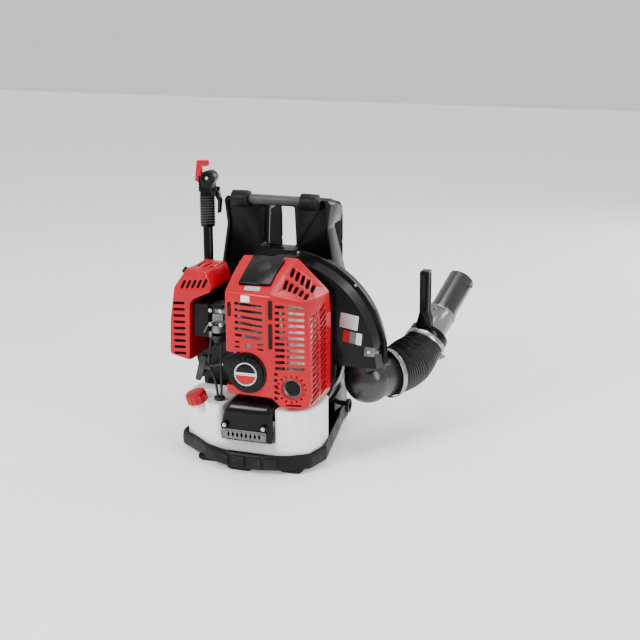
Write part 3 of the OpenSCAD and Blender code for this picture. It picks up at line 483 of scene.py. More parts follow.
def make_engine_cover():
    """Thin moulded shell: two front panels, slanted sides and a chamfered top, open at the back."""
    ridge_low, ridge_high = (86, -160, 155), (86, -160, 360)
    front = [
        (-12, -150, 153), ridge_low, (104, -160, 139), (156, -149, 137), (163, -145, 160),
        (158, -147, 300), (148, -149, 352), ridge_high, (-12, -152, 361),
    ]
    middle = [
        (-15, -100, 150), (86, -110, 151), (103, -110, 136), (159, -100, 135), (167, -100, 156),
        (165, -100, 304), (159, -100, 350), (94, -104, 388), (-14, -100, 388),
    ]
    back = [
        (-18, RIM_Y, 148), (86, RIM_Y, 148), (102, RIM_Y, 134), (160, RIM_Y, 134), (168, RIM_Y, 150),
        (168, RIM_Y, 310), (164, RIM_Y, 350), (100, RIM_Y, 410), (-17, RIM_Y, 409),
    ]
    bm = bmesh.new()
    rings = [[bm.verts.new(Vector(p) * MM) for p in loop] for loop in (front, middle, back)]
    for a, b in zip(rings, rings[1:]):
        for k in range(len(a)):
            n = (k + 1) % len(a)
            bm.faces.new((a[k], a[n], b[n], b[k]))
    face = rings[0]
    bm.faces.new((face[0], face[8], face[7], face[1]))
    bm.faces.new((face[1], face[7], face[6], face[5], face[4], face[3], face[2]))
    cover = from_bmesh("engine_cover_shell", bm, "red_plastic")
    round_off = cover.modifiers.new("round", "BEVEL")
    round_off.width = 5 * MM
    round_off.segments = 3
    round_off.limit_method = "ANGLE"
    round_off.angle_limit = math.radians(12)
    applied(cover)
    shell = cover.modifiers.new("wall", "SOLIDIFY")
    shell.thickness = WALL * MM
    shell.offset = -1
    shell.use_even_offset = True
    applied(cover)
    boolean(cover, cover_cuts(), overlapping=True)
    soften(cover, 0.35 * MM, 1, 40)
    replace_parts(cover, "engine_cover")
    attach(cover, "machine")

    grooves = bmesh.new()
    for z0, z1 in ((313, 352), (255, 306)):
        outline = rounded([(81.6, z0), (89.6, z0), (89.6, z1), (81.6, z1)], 3.6)
        prism(grooves, [(p[0], p[1]) for p in outline], 0, 1.4, facing_front(0, -159.4, 0))
        for k in range(int((z1 - z0) / 6) - 1):
            z = z0 + 6 + k * 6
            prism(grooves, slot_outline(85.6, z, 5.5, 2), 1.2, 2.2, facing_front(0, -159.4, 0))
    trim = from_bmesh("cover_trim_grooves", grooves, "matte_black")
    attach(soften(trim, 0.3 * MM), "machine")

    slope = Matrix.Rotation(math.atan2(28, 53), 4, "X")
    for name, slot_name, place in (
        ("cover_plate_light", "bright_steel", facing_up(43, -143, 367.6) @ slope),
        ("cover_plate_white", "ceramic_white", facing_front(33, -155.6, 350)),
    ):
        plates = bmesh.new()
        half = (16, 6) if slot_name == "bright_steel" else (9, 6.5)
        corners = [(-half[0], -half[1]), (half[0], -half[1]), half, (-half[0], half[1])]
        prism(plates, [tuple(p) for p in rounded(corners, 2)], 0, 0.8, place)
        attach(soften(from_bmesh(name, plates, slot_name), 0.15 * MM, 1), "machine")


def make_exhaust_guard():
    """Raised lip round the exhaust opening, with the dark outlet pipe behind it."""
    place = facing_front(EXHAUST[0], -153, EXHAUST[1])
    bm = bmesh.new()
    lathe(bm, [(19.4, -3), (19.6, 0.6), (20.8, 2), (22.2, 1), (22.8, -1), (22.8, -3), (19.4, -3)], place, 56)
    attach(smooth(from_bmesh("exhaust_lip", bm, "red_plastic"), 50), "machine")
    bm = bmesh.new()
    lathe(bm, [(14.4, -6.8), (15.6, -6.8), (18.9, -2), (17.6, -2), (14.4, -6.8)], place, 40)
    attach(smooth(from_bmesh("exhaust_outlet", bm, "dark_steel")), "machine")
    bm = bmesh.new()
    lathe(bm, [(0.1, -5.9), (9, -6.1), (19, -6.6), (19, -7), (0.1, -7)], place, 40)
    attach(smooth(from_bmesh("exhaust_screen", bm, "matte_black")), "machine")


def make_cap_panel():
    """Black cover over the plug, with a shallow round dome."""
    base = cleaned_copy("cylinder_cap_panel", "cap_panel_finish")
    stand_in(soften(base, 2.0 * MM, 3), "cylinder_cap_panel")
    slope = math.atan2(34, 79)
    place = (
        Matrix.Translation(Vector((44, -86, 399)) * MM)
        @ Matrix.Rotation(slope, 4, "X")
    )
    bm = bmesh.new()
    lathe(bm, [(0.05, 3.4), (9, 3.2), (15, 2.2), (19, 0.2), (20.5, -1.2), (20.5, -3), (0.05, -3)], place, 48)
    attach(smooth(from_bmesh("cap_panel_dome", bm, "matte_black")), "machine")


# ---------- flexible hose ----------

def unit(v):
    return Vector(v).normalized()


ELBOW = Vector((220, 45, 146))
HOSE_DIR = unit((0.535, 0.844, 0.03))
COLLAR = joint_mm("pipe_swivel")
PIPE_DIR = unit(JOINTS["pipe_swivel"]["axis"])
HOSE_START = ELBOW + HOSE_DIR * 58


def hose_point(t):
    p0 = HOSE_START - HOSE_DIR * 6
    p1 = p0 + HOSE_DIR * 42
    p3 = COLLAR + PIPE_DIR * 4
    p2 = p3 - PIPE_DIR * 42
    u = 1 - t
    return p0 * u**3 + p1 * 3 * u * u * t + p2 * 3 * u * t * t + p3 * t**3


def hose_radius(t):
    return (1 - t) * 49.2 + t * 41 + 7 * math.sin(math.pi * t) ** 2


def hose_tube(name, start, end, pitch=5.6, sides=72):
    """Thin wall with fine folds, following the hose's curve from start to end."""
    count = max(4, int((end - start) * 30 * 6))
    length = 0.0
    rings = []
    last = hose_point(start)
    up = Vector((0, 0, 1))
    for i in range(count + 1):
        t = start + (end - start) * i / count
        point = hose_point(t)
        length += (point - last).length
        last = point
        ahead = (hose_point(min(1, t + 0.01)) - hose_point(max(0, t - 0.01))).normalized()
        side = ahead.cross(up).normalized()
        over = side.cross(ahead)
        fade = min(1, t / 0.07, (1 - t) / 0.07)
        wave = math.cos(2 * math.pi * length / pitch)
        crest = (1 if wave > 0 else -1) * abs(wave) ** 0.6
        radius = hose_radius(t) - 2.2 + 2.1 * fade * crest
        rings.append([
            (point + (side * math.cos(a) + over * math.sin(a)) * radius) * MM
            for a in (2 * math.pi * k / sides for k in range(sides))
        ])
    bm = bmesh.new()
    add_loops(bm, rings, caps=False)
    hose = from_bmesh(name, bm, "hose_black")
    wall = hose.modifiers.new("wall", "SOLIDIFY")
    wall.thickness = 1.4 * MM
    wall.offset = -1
    applied(hose)
    return smooth(hose, 60)


def make_rope():
    """Starter rope from the guide to the grip."""
    line = smooth_line(((-11, -148, 212), (-30, -142, 207), (-44, -135, 202), (-55, -129, 199)), 24)
    bm = bmesh.new()
    path_tube(bm, line, 1.9, 12)
    rope = smooth(from_bmesh("starter_rope_cord", bm, "web_black"), 80)
    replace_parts(rope, "starter_rope")
    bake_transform(rope)
    bm = bmesh.new()
    guide = aimed((-16, -148, 212), (-1, 0.2, -0.15))
    lathe(bm, [(2.4, -3), (2.4, 1.5), (3.4, 2.4), (4.8, 1.6), (5.2, -3), (2.4, -3)], guide, 24)
    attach(smooth(from_bmesh("rope_guide_eye", bm, "bright_steel"), 50), "machine")


# ---------- tank, air cleaner cover and their details ----------

def lobe(bm, outline, z0, z1, radius=12):
    prism(bm, [(p[0], p[1]) for p in rounded(outline, radius)], z0, z1, facing_up(0, 0, 0))


def make_tank():
    """Two moulded lobes joined low down, with one soft skin over all of it."""
    outlines = (
        ([(-130, -80), (-102, -104), (-58, -138), (-26, -148), (-26, -20), (-130, -20)], 29, 123),
        ([(86, -152), (122, -148), (152, -126), (162, -84), (159, -20), (86, -20)], 29, 128),
        ([(-46, -144), (110, -144), (110, -22), (-46, -22)], 29, 57),
    )
    tank = None
    for outline, z0, z1 in outlines:
        bm = bmesh.new()
        lobe(bm, outline, z0, z1)
        part = from_bmesh("tank_part", bm, "tank_white")
        tank = part if tank is None else boolean(tank, part, "UNION")
    bm = bmesh.new()
    corner = [(-132, -150), (-70, -150), (-70, -58), (-132, -58)]
    prism(bm, corner, 97, 160, facing_up(0, 0, 0))
    boolean(tank, from_bmesh("tank_corner", bm, "tank_white"))
    bm = bmesh.new()
    neck = aimed(joint_mm("cap_turn"), JOINTS["cap_turn"]["axis"])
    lathe(bm, [(18, -16), (18, 6)], neck, 48, cap=True)
    boolean(tank, from_bmesh("tank_neck", bm, "tank_white"), "UNION")
    skin = tank.modifiers.new("skin", "REMESH")
    skin.mode = "VOXEL"
    skin.voxel_size = 2.6 * MM
    relax = tank.modifiers.new("relax", "SMOOTH")
    relax.factor = 0.5
    relax.iterations = 9
    applied(tank)
    tank.name = "tank_body"
    smooth(tank, 70)
    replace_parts(tank, "fuel_tank")
    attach(tank, "machine")

    bm = bmesh.new()
    lathe(bm, [(14.5, 5), (16.4, 5), (16.4, 18), (14.5, 18), (14.5, 5)], neck, 48)
    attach(smooth(from_bmesh("tank_neck_ring", bm, "tank_white")), "machine")


def make_bracket():
    """Glossy hood over the middle of the tank, a ribbed clamp plate and two bolts in round bosses."""
    low, high = box_mm("tank_bracket")
    skirt = high.z - low.z - 3
    # Back from the front face, share of the height, and the insets from left and right.
    rows = (
        (64, 1, 30, 8), (32, 0.98, 26, 4), (14, 0.91, 20, 1), (4, 0.77, 12, 0), (2, 0.64, 7, 0),
        (3, 0.56, 4, 0), (2, 0.34, 1, 0), (2, 0.13, 0, 0), (2, 0, 0, 0),
    )
    bm = bmesh.new()
    loops = []
    for back, share, left_in, right_in in rows:
        y = low.y + back
        z = low.z + share * skirt
        left = low.x + left_in
        right = high.x - right_in
        xs = [left + (right - left) * k / 10 for k in range(11)]
        crown = [(x, y - 0.8 * math.sin(math.pi * k / 10), z) for k, x in enumerate(xs)]
        loops.append([(left - 1, y + 10, z - 3), *crown, (right + 1, y + 10, z - 3)])
    add_loops(bm, [[Vector(p) * MM for p in loop] for loop in loops], closed=False, caps=False)
    hood = from_bmesh("tank_bracket_hood", bm, "gloss_black")
    wall = hood.modifiers.new("wall", "SOLIDIFY")
    wall.thickness = 2.2 * MM
    wall.offset = 0
    finer = hood.modifiers.new("finer", "SUBSURF")
    finer.levels = 2
    applied(hood)
    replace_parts(smooth(hood, 60), "tank_bracket")
    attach(hood, "machine")

    shaft_low, shaft_high = box_mm("crankshaft")
    middle = (shaft_low.x + shaft_high.x) / 2
    bm = bmesh.new()
    half = 26
    under = high.z - 9.8
    arm = [(middle - half, under), (middle + half, under), (middle + half, high.z), (middle - half, high.z)]
    prism(bm, [tuple(p) for p in rounded(arm, 2)], 0, high.y - low.y - 60, facing_front(0, high.y, 0))
    block = soften(from_bmesh("tank_bracket_arm", bm, "gloss_black"), 0.5 * MM)
    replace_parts(block, "tank_bracket")
    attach(block, "machine")

    low, high = box_mm("tank_clamp_plate")
    thick = high.y - low.y
    face = facing_front(0, high.y, 0)
    corners = [(low.x, low.z), (high.x, low.z), (high.x, high.z), (low.x, high.z)]
    bm = bmesh.new()
    prism(bm, [tuple(p) for p in rounded(corners, 3)], 0, thick, face)
    ribs = 9
    pitch = (high.x - low.x) / (ribs + 1)
    for k in range(ribs):
        rib = slot_outline(low.x + (k + 1) * pitch, (low.z + high.z) / 2, 3.4, high.z - low.z - 5)
        prism(bm, rib, thick - 0.2, thick + 1.6, face)
    plate = from_bmesh("clamp_plate_ribbed", bm, "dark_steel")
    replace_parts(soften(plate, 0.6 * MM), "tank_clamp_plate")
    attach(plate, "machine")

    low, high = box_mm("bracket_bolts")
    head_r = (high.z - low.z) / math.sqrt(3)
    boss = [(7.6, -2), (7.6, 3), (6.6, 4.6), (5.4, 4.6), (5, 3), (0.1, 3), (0.1, -2)]
    bolt = [(0.1, 6.2), (2, 6.2), (2.2, 4.6), (4, 4.6), (4.4, 3.8), (4.4, 2.6), (0.1, 2.6)]
    bosses = bmesh.new()
    bolts = bmesh.new()
    for x in (low.x + head_r, high.x - head_r):
        place = facing_front(x, high.y + 1, (low.z + high.z) / 2)
        lathe(bosses, boss, place, 36)
        lathe(bolts, bolt, place, 24)
    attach(soften(from_bmesh("bracket_bosses", bosses, "gloss_black"), 0.3 * MM), "machine")
    heads = from_bmesh("bracket_bolt_heads", bolts, "bright_steel")
    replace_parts(smooth(heads, 40), "bracket_bolts")
    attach(heads, "machine")


BASE_OUTLINE = [
    (-140, -88), (-104, -112), (-60, -148), (0, -174), (62, -176), (120, -160), (158, -134),
    (172, -78), (150, 60), (134, 150), (134, 196), (-134, 196), (-134, 150), (-146, 60),
]


def make_base():
    """Moulded base: rolled rim, sunken deck, soft feet and blocks along the front edge."""
    outline = [Vector(p) for p in rounded(BASE_OUTLINE, 16, 5)]
    count = len(outline)
    normals = []
    for k in range(count):
        d = (outline[(k + 1) % count] - outline[k - 1]).normalized()
        normals.append(Vector((d.y, -d.x)))
    profile = (
        (-9, 10), (-4, 8.6), (-1, 9.4), (0.6, 13), (1.2, 20), (1, 28), (0.2, 35), (-1.6, 38.8),
        (-4, 40), (-6, 39), (-7, 36), (-7.2, 24), (-8.4, 18.5), (-12, 16.6), (-30, 16.4),
    )
    bm = bmesh.new()
    loops = []
    for out, z in profile:
        loops.append([Vector((p.x + n.x * out, p.y + n.y * out, z)) * MM for p, n in zip(outline, normals)])
    add_loops(bm, loops, caps=True)
    base = smooth(from_bmesh("base_rim", bm, "matte_black"), 50)
    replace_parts(base, "base_tray")
    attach(base, "machine")

    feet = bmesh.new()
    for x, y, w, d in (
        (-60, -128, 46, 30), (18, -152, 54, 34), (118, -134, 50, 34), (0, 0, 60, 40),
        (-100, 120, 50, 40), (100, 120, 50, 40),
    ):
        for z0, z1, grow in ((0, 3, -3), (3, 11, 0)):
            corners = [
                (x - w / 2 - grow, y - d / 2 - grow), (x + w / 2 + grow, y - d / 2 - grow),
                (x + w / 2 + grow, y + d / 2 + grow), (x - w / 2 - grow, y + d / 2 + grow),
            ]
            prism(feet, [tuple(p) for p in rounded(corners, 9)], z0, z1, facing_up(0, 0, 0))
    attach(soften(from_bmesh("base_feet", feet, "matte_black"), 1.4 * MM, 3), "machine")

    step = bmesh.new()
    for x, y, turn in ((-34, -163, -24), (-12, -171, -16), (22, -176.5, -2), (56, -177, 2), (88, -171.5, 12)):
        place = aimed((x, y, 26), (0, 0, 1)) @ Matrix.Rotation(math.radians(turn), 4, "Z")
        corners = [(-12, -3.4), (12, -3.4), (13, 4), (-13, 4)]
        prism(step, [tuple(p) for p in rounded(corners, 2)], -13, 9, place)
    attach(soften(from_bmesh("base_front_blocks", step, "matte_black"), 2 * MM, 3), "machine")


AIR_OUTLINE = [
    (-152, 206), (-149, 280), (-138, 352), (-112, 388), (-66, 386), (-52, 350), (-92, 332),
    (-102, 322), (-106, 196),
]


def make_air_cover():
    """Deep red lid over the air filter, its face drawn in and rounded, with cooling slots."""
    outline = [tuple(p) for p in rounded(AIR_OUTLINE, 6, 5)]
    middle = Vector((-115, 300))
    bm = bmesh.new()
    low, high = box_mm("air_cleaner_cover")
    layers = ((high.y, 0.0), (low.y + 22, 0.0), (low.y + 11, 0.012), (low.y + 4, 0.035), (low.y, 0.085))
    loops = []
    for y, shrink in layers:
        loops.append([Vector(p) + (middle - Vector(p)) * shrink for p in outline])
    rings = [
        [bm.verts.new(Vector((p[0], y, p[1])) * MM) for p in loop]
        for (y, _), loop in zip(layers, loops)
    ]
    for a, b in zip(rings, rings[1:]):
        for k in range(len(a)):
            n = (k + 1) % len(a)
            bm.faces.new((a[k], a[n], b[n], b[k]))
    bm.faces.new(rings[-1])
    cover = from_bmesh("air_cover_shell", bm, "red_plastic")
    wall = cover.modifiers.new("wall", "SOLIDIFY")
    wall.thickness = 2.6 * MM
    wall.offset = -1
    applied(cover)
    cuts = bmesh.new()
    front = facing_front(0, low.y + 10, 0)
    for row in range(9):
        prism(cuts, slot_outline(-127, 318 - row * 13, 26, 5.4, 3), -20, 16, front)
    for k in range(5):
        prism(cuts, slot_outline(-116 + k * 11.5, 357 + k * 1.2, 20, 5.4, 62), -20, 16, front)
    for k in range(5):
        place = facing_up(-124 + k * 12.5, -60, 340)
        prism(cuts, slot_outline(0, 0, 40, 5, 90), 0, 60, place)
    boolean(cover, from_bmesh("air_cuts", cuts, "red_plastic"))
    soften(cover, 0.4 * MM, 2, 40)
    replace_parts(cover, "air_cleaner_cover")
    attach(cover, "machine")
    bm = bmesh.new()
    inner = [Vector(p) + (middle - Vector(p)) * 0.09 for p in outline]
    prism(bm, [(p.x, p.y) for p in inner], 0, 1, facing_front(0, low.y + 11, 0))
    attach(soften(from_bmesh("air_cover_liner", bm, "matte_black"), 0.2 * MM), "machine")


# ---------- labels, brackets and trim ----------

DUCT_FRONT = box_mm("fan_case_front")[0].y


def make_duct_trim():
    """Blank plates on the front of the outlet duct."""
    for name, outline, slot_name in (
        ("duct_plate_silver", [(176, 270), (214, 264), (217, 294), (179, 300)], "bright_steel"),
        ("duct_plate_red", [(183, 240), (195, 238), (197, 262), (185, 264)], "red_plastic"),
        ("duct_plate_dark", [(196, 238), (209, 236), (211, 260), (198, 262)], "dark_steel"),
        ("duct_plate_white", [(210, 236), (222, 234), (224, 258), (212, 260)], "ceramic_white"),
    ):
        bm = bmesh.new()
        shape = [tuple(p) for p in rounded(outline, 1.5)]
        prism(bm, shape, -0.4, 0.5, facing_front(0, DUCT_FRONT, 0))
        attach(soften(from_bmesh(name, bm, slot_name), 0.12 * MM, 1), "machine")


def make_duct_clip():
    """Small cable clip with a tab, screwed to the duct's outer edge."""
    bm = bmesh.new()
    place = facing_front(0, DUCT_FRONT, 0)
    for outline, depth in (
        ([(228, 214), (250, 214), (252, 232), (230, 234)], 3),
        ([(247, 220), (259, 221), (259, 227), (247, 228)], 2),
    ):
        prism(bm, [tuple(p) for p in rounded(outline, 2)], -0.5, depth, place)
    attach(soften(from_bmesh("duct_clip_plate", bm, "dark_steel"), 0.5 * MM), "machine")
    bm = bmesh.new()
    screw = facing_front(238, DUCT_FRONT - 3, 223)
    lathe(bm, [(0.1, 1.6), (2.6, 1.6), (3.4, 0.8), (3.4, -0.4), (0.1, -0.4)], screw, 20)
    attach(smooth(from_bmesh("duct_clip_screw", bm, "bright_steel"), 40), "machine")


def make_starter_badge():
    """Blank two-tone badge in the middle of the recoil starter, with rings round it."""
    face = facing_front(CRANK_X, box_mm("starter_case")[0].y, CRANK_Z)
    for name, slot_name, start, end in (
        ("starter_badge_top", "gloss_black", 8, 172),
        ("starter_badge_bottom", "red_plastic", 188, 352),
    ):
        bm = bmesh.new()
        prism(bm, arc_points(0, 0, 21, start, end, 28), -1, 1.1, face)
        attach(soften(from_bmesh(name, bm, slot_name), 0.3 * MM), "machine")
    bm = bmesh.new()
    lathe(bm, [(0.05, 0.5), (21.6, 0.5), (21.6, 1.6), (23.4, 1.6), (24, 0.6), (24, -1), (0.05, -1)], face, 64)
    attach(smooth(from_bmesh("starter_badge_plate", bm, "bright_steel")), "machine")
    bm = bmesh.new()
    for k in range(18):
        turn = face @ Matrix.Rotation(2 * math.pi * k / 18, 4, "Z")
        prism(bm, slot_outline(31, 0, 9, 2.6), -0.6, 0.9, turn)
    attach(soften(from_bmesh("starter_fins", bm, "matte_black"), 0.25 * MM), "machine")


def make_grip_details():
    """Ribs and end screws of the carry handle; ribs, screw and ring of the throttle grip."""
    low, high = box_mm("carry_handle")
    axis = (low + high) / 2
    bare_end = 8
    length = high.x - low.x - 2 * bare_end
    ribs = 24
    bm = bmesh.new()
    for k in range(ribs):
        place = aimed((axis.x - length / 2 + k * length / (ribs - 1), axis.y, axis.z), (1, 0, 0))
        lathe(bm, [(9.3, -1.3), (10.4, -0.8), (10.4, 0.8), (9.3, 1.3), (9.3, -1.3)], place, 32)
    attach(smooth(from_bmesh("carry_grip_ribs", bm, "grip_grey"), 50), "machine")
    low, high = box_mm("handle_knuckles")
    knuckle_r = 17
    y = low.y + knuckle_r
    z = high.z - knuckle_r
    bm = bmesh.new()
    for side in (-1, 1):
        place = aimed((side * high.x, y, z), (side, 0, 0))
        lathe(bm, [(0.1, 2.6), (4.6, 2.6), (6.2, 1.6), (6.4, -0.6), (0.1, -0.6)], place, 24)
        for k in range(3):
            ring = aimed((side * (high.x - 18 - k * 6), y, z), (1, 0, 0))
            lathe(bm, [(16.6, -1.2), (17.8, -0.6), (17.8, 0.6), (16.6, 1.2), (16.6, -1.2)], ring, 40)
    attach(smooth(from_bmesh("knuckle_rings", bm, "matte_black"), 50), "machine")
    arm = joint_mm("arm_swing")
    head_low, head_high = box_mm("arm_head")
    bm = bmesh.new()
    for k in range(11):
        place = aimed((arm.x, arm.y, head_low.z + 8 + k * 5.6), (0, 0, 1))
        lathe(bm, [(15.2, -1.6), (16.3, -1), (16.3, 1), (15.2, 1.6), (15.2, -1.6)], place, 40)
    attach(smooth(from_bmesh("throttle_grip_ribs", bm, "rubber_black"), 50), "arm")
    bm = bmesh.new()
    place = aimed((arm.x + 6, head_low.y + 2.5, head_high.z - 15), (0, -1, 0))
    lathe(bm, [(0.1, 2.2), (3.2, 2.2), (3.8, 1.4), (3.8, -0.5), (0.1, -0.5)], place, 24)
    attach(smooth(from_bmesh("throttle_head_screw", bm, "bright_steel"), 40), "arm")
    bm = bmesh.new()
    lathe(bm, [(10.5, -0.5), (13.6, -0.5), (14.2, 0.8), (13.2, 1.8), (11, 1.8), (10.5, -0.5)], place, 40)
    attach(smooth(from_bmesh("throttle_head_ring", bm, "matte_black"), 40), "arm")


def make_engine_details():
    """Small fittings seen beside the carburetor: link rod, bolts and fuel bulb."""
    bm = bmesh.new()
    path_tube(bm, [(-74, -112, 262), (-66, -114, 276), (-52, -112, 288), (-40, -108, 292)], 1.6)
    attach(smooth(from_bmesh("choke_link_rod", bm, "dark_steel"), 60), "machine")
    bm = bmesh.new()
    for x, z in ((-60, 308), (-38, 308), (-60, 280), (-38, 280)):
        place = aimed((x, -113, z), (0, -1, 0))
        lathe(bm, [(0.1, 2.4), (2.4, 2.4), (2.9, 1.8), (2.9, 0), (4, 0), (4, -0.8), (0.1, -0.8)], place, 12)
    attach(smooth(from_bmesh("carburetor_bolts", bm, "bright_steel"), 40), "machine")
    bm = bmesh.new()
    place = aimed((-49, -101, 256), (0, 0, -1))
    lathe(bm, [(13.6, 0), (14.4, 2), (14.4, 4), (12, 6), (11, 11), (8, 15), (0.1, 16.5)], place, 36)
    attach(smooth(from_bmesh("primer_bulb", bm, "rubber_black"), 60), "machine")


# ---------- soft goods ----------

def inflate(obj, voxel, held, cap, pressure):
    """Blows a closed cloth shell up a little; held(point) says which points stay still."""
    skin = obj.modifiers.new("skin", "REMESH")
    skin.mode = "VOXEL"
    skin.voxel_size = voxel * MM
    applied(obj)
    rest = [v.co.copy() for v in obj.data.vertices]
    group = obj.vertex_groups.new(name="held")
    group.add([v.index for v in obj.data.vertices if held(v.co / MM)], 1.0, "REPLACE")
    cloth = obj.modifiers.new("cloth", "CLOTH")
    settings = cloth.settings
    settings.use_pressure = True
    settings.uniform_pressure_force = pressure
    settings.vertex_group_mass = "held"
    settings.mass = 0.12
    settings.tension_stiffness = 5
    settings.compression_stiffness = 5
    settings.bending_stiffness = 0.1
    settings.effector_weights.gravity = 0
    cloth.point_cache.frame_start = 1
    cloth.point_cache.frame_end = 20
    for number in range(1, 21):
        bpy.context.scene.frame_set(number)
    applied(obj)
    bpy.context.scene.frame_set(1)
    for v, start in zip(obj.data.vertices, rest):
        move = v.co - start
        if move.length > cap * MM:
            v.co = start + move.normalized() * cap * MM
    obj.vertex_groups.clear()
    finer = obj.modifiers.new("finer", "SUBSURF")
    finer.levels = 1
    applied(obj)
    return smooth(obj, 180)


def path_tube(bm, points, radius, sides=10, closed=False):
    """A round strand through points in mm."""
    count = len(points)
    rings = []
    for i, p in enumerate(points):
        before = points[i - 1] if (closed or i) else p
        after = points[(i + 1) % count] if (closed or i < count - 1) else p
        ahead = (Vector(after) - Vector(before)).normalized()
        frame_turn = ahead.to_track_quat("Z", "Y").to_matrix()
        rings.append([
            (Vector(p) + frame_turn @ Vector((math.cos(a), math.sin(a), 0)) * radius) * MM
            for a in (2 * math.pi * k / sides for k in range(sides))
        ])
    if closed:
        rings.append(rings[0])
    add_loops(bm, rings, caps=not closed)


PAD_OUTLINE = [(-94, 98), (94, 98), (102, 240), (90, 368), (-90, 368), (-102, 240)]
PAD_SEAMS = (152, 206, 260, 314)
PAD_BACK = box_mm("back_pad")[0].y
PAD_FRONT = PAD_BACK + 15
# Far above the 4 or so that suits loose cushions: at 4 this pad moves only 2 mm at most, at 90 5 mm.
PAD_PRESSURE = 90.0


def make_back_pad():
    """Quilted pad of mesh fabric: stuffed bands between stitched seams, with piping round the edge."""
    outline = [tuple(p) for p in rounded(PAD_OUTLINE, 20, 6)]
    bm = bmesh.new()
    slab_xz(bm, outline, PAD_BACK + 2, PAD_FRONT)
    pad = from_bmesh("back_pad_cloth", bm, "pad_fabric")

    def held(p):
        near_seam = min(abs(p.z - z) for z in PAD_SEAMS) < 3
        near_edge = any((Vector((p.x, p.z)) - Vector(q)).length < 9 for q in outline)
        return p.y < PAD_BACK + 5 or near_seam or near_edge

    inflate(pad, 4.5, held, 9, PAD_PRESSURE)
    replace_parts(pad, "back_pad")
    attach(pad, "machine")

    bm = bmesh.new()
    path_tube(bm, [(x, PAD_BACK + 10, z) for x, z in outline], 3, closed=True)
    for z in PAD_SEAMS:
        half = 96 - abs(z - 240) * 0.06
        path_tube(bm, [(x, PAD_FRONT + 0.2, z) for x in (-half, -half / 2, 0, half / 2, half)], 1.3, 8)
    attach(smooth(from_bmesh("back_pad_piping", bm, "web_black"), 80), "machine")


STRAP_X = sum(corner.x for corner in box_mm("shoulder_strap_right")) / 2
# Place across the strap and height off its back line, round one cross-section.
STRAP_SECTION = (
    (-26, 1), (26, 1), (27.5, 5), (24, 8.6), (14, 10.6), (5, 10), (0, 8.6),
    (-5, 10), (-14, 10.6), (-24, 8.6), (-27.5, 5),
)
STRAP_FACE = ((201, 460), (214, 474), (236, 456), (240, 400), (238, 320), (230, 250))


def smooth_line(points, steps):
    """Catmull-Rom line through points."""
    pts = [Vector(p) for p in points]
    out = []
    for i in range(len(pts) - 1):
        a, b, c, d = pts[max(i - 1, 0)], pts[i], pts[i + 1], pts[min(i + 2, len(pts) - 1)]
        for k in range(steps):
            t = k / steps
            out.append(0.5 * (2 * b + (c - a) * t + (2 * a - 5 * b + 4 * c - d) * t * t
                              + (3 * b - a - 3 * c + d) * t**3))
    out.append(pts[-1])
    return out


def line_normals(line):
    out = []
    for i in range(len(line)):
        d = (line[min(i + 1, len(line) - 1)] - line[max(i - 1, 0)]).normalized()
        out.append(Vector((-d.y, d.x)))
    return out


def make_straps():
    """Padded shoulder straps, modelled directly: two stuffed rolls either side of stitched webbing."""
    line = smooth_line(STRAP_FACE, 8)
    normals = line_normals(line)
    bm = bmesh.new()
    loops = []
    for p, n in zip(line, normals):
        loops.append([Vector((x, *(p + n * out))) * MM for x, out in STRAP_SECTION])
    add_loops(bm, loops)
    left = from_bmesh("strap_left_cloth", bm, "pad_fabric")
    finer = left.modifiers.new("finer", "SUBSURF")
    finer.levels = 2
    applied(left)
    smooth(left, 180)
    right = new_object("strap_right_cloth", left.data.copy(), "pad_fabric")
    for obj, side, node in ((left, -1, "shoulder_strap_left"), (right, 1, "shoulder_strap_right")):
        obj.data.transform(Matrix.Translation((side * STRAP_X * MM, 0, 0)))
        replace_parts(obj, node)
        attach(obj, "machine")

    stitched = bmesh.new()
    tails = bmesh.new()
    binding = bmesh.new()
    for side in (-1, 1):
        face = [p + n * 11.2 for p, n in zip(line[3:], normals[3:])]
        band_strip(stitched, face, side * STRAP_X, 25, 1.6)
        for edge in (-27, 27):
            path = [(side * STRAP_X + edge, (p + n * 5.5).x, (p + n * 5.5).y) for p, n in zip(line, normals)]
            path_tube(binding, path, 2.4, 8)
        tail = smooth_line(((237, 246), (233, 212), (228, 150), (214, 92), (199, 58)), 8)
        band_strip(tails, tail, side * STRAP_X, 28, 2.0)
    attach(soften(from_bmesh("strap_stitched_bands", stitched, "web_black"), 0.4 * MM), "machine")
    webbing = from_bmesh("strap_webbing_tails", tails, "web_black")
    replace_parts(webbing, "strap_webbing")
    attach(soften(webbing, 0.4 * MM), "machine")
    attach(smooth(from_bmesh("strap_binding", binding, "web_black"), 80), "machine")


def band_strip(bm, line, x, width, thick):
    """Flat webbing, its edges slightly rounded, along a line in Y and Z."""
    normals = line_normals(line)
    loops = []
    for p, n in zip(line, normals):
        a, b = p - n * thick / 2, p + n * thick / 2
        half = width / 2
        loops.append([
            Vector((x + dx, q.x, q.y)) * MM
            for dx, q in ((-half + 0.6, a), (half - 0.6, a), (half, (a + b) / 2), (half - 0.6, b),
                          (-half + 0.6, b), (-half, (a + b) / 2))
        ])
    add_loops(bm, loops)


# ---------- camera, light and floor ----------

def make_camera():
    data = bpy.data.cameras.new("camera")
    data.lens = 70
    data.sensor_width = 36
    cam = bpy.data.objects.new("camera", data)
    bpy.context.collection.objects.link(cam)
    azimuth, elevation, distance = math.radians(19), math.radians(15.5), 2.489
    target = Vector((0.138, -0.020, 0.282))
    back = Vector((
        math.sin(azimuth) * math.cos(elevation),
        -math.cos(azimuth) * math.cos(elevation),
        math.sin(elevation),
    ))
    cam.location = target + back * distance
    cam.rotation_mode = "QUATERNION"
    cam.rotation_quaternion = (-back).to_track_quat("-Z", "Y")
    bpy.context.scene.camera = cam


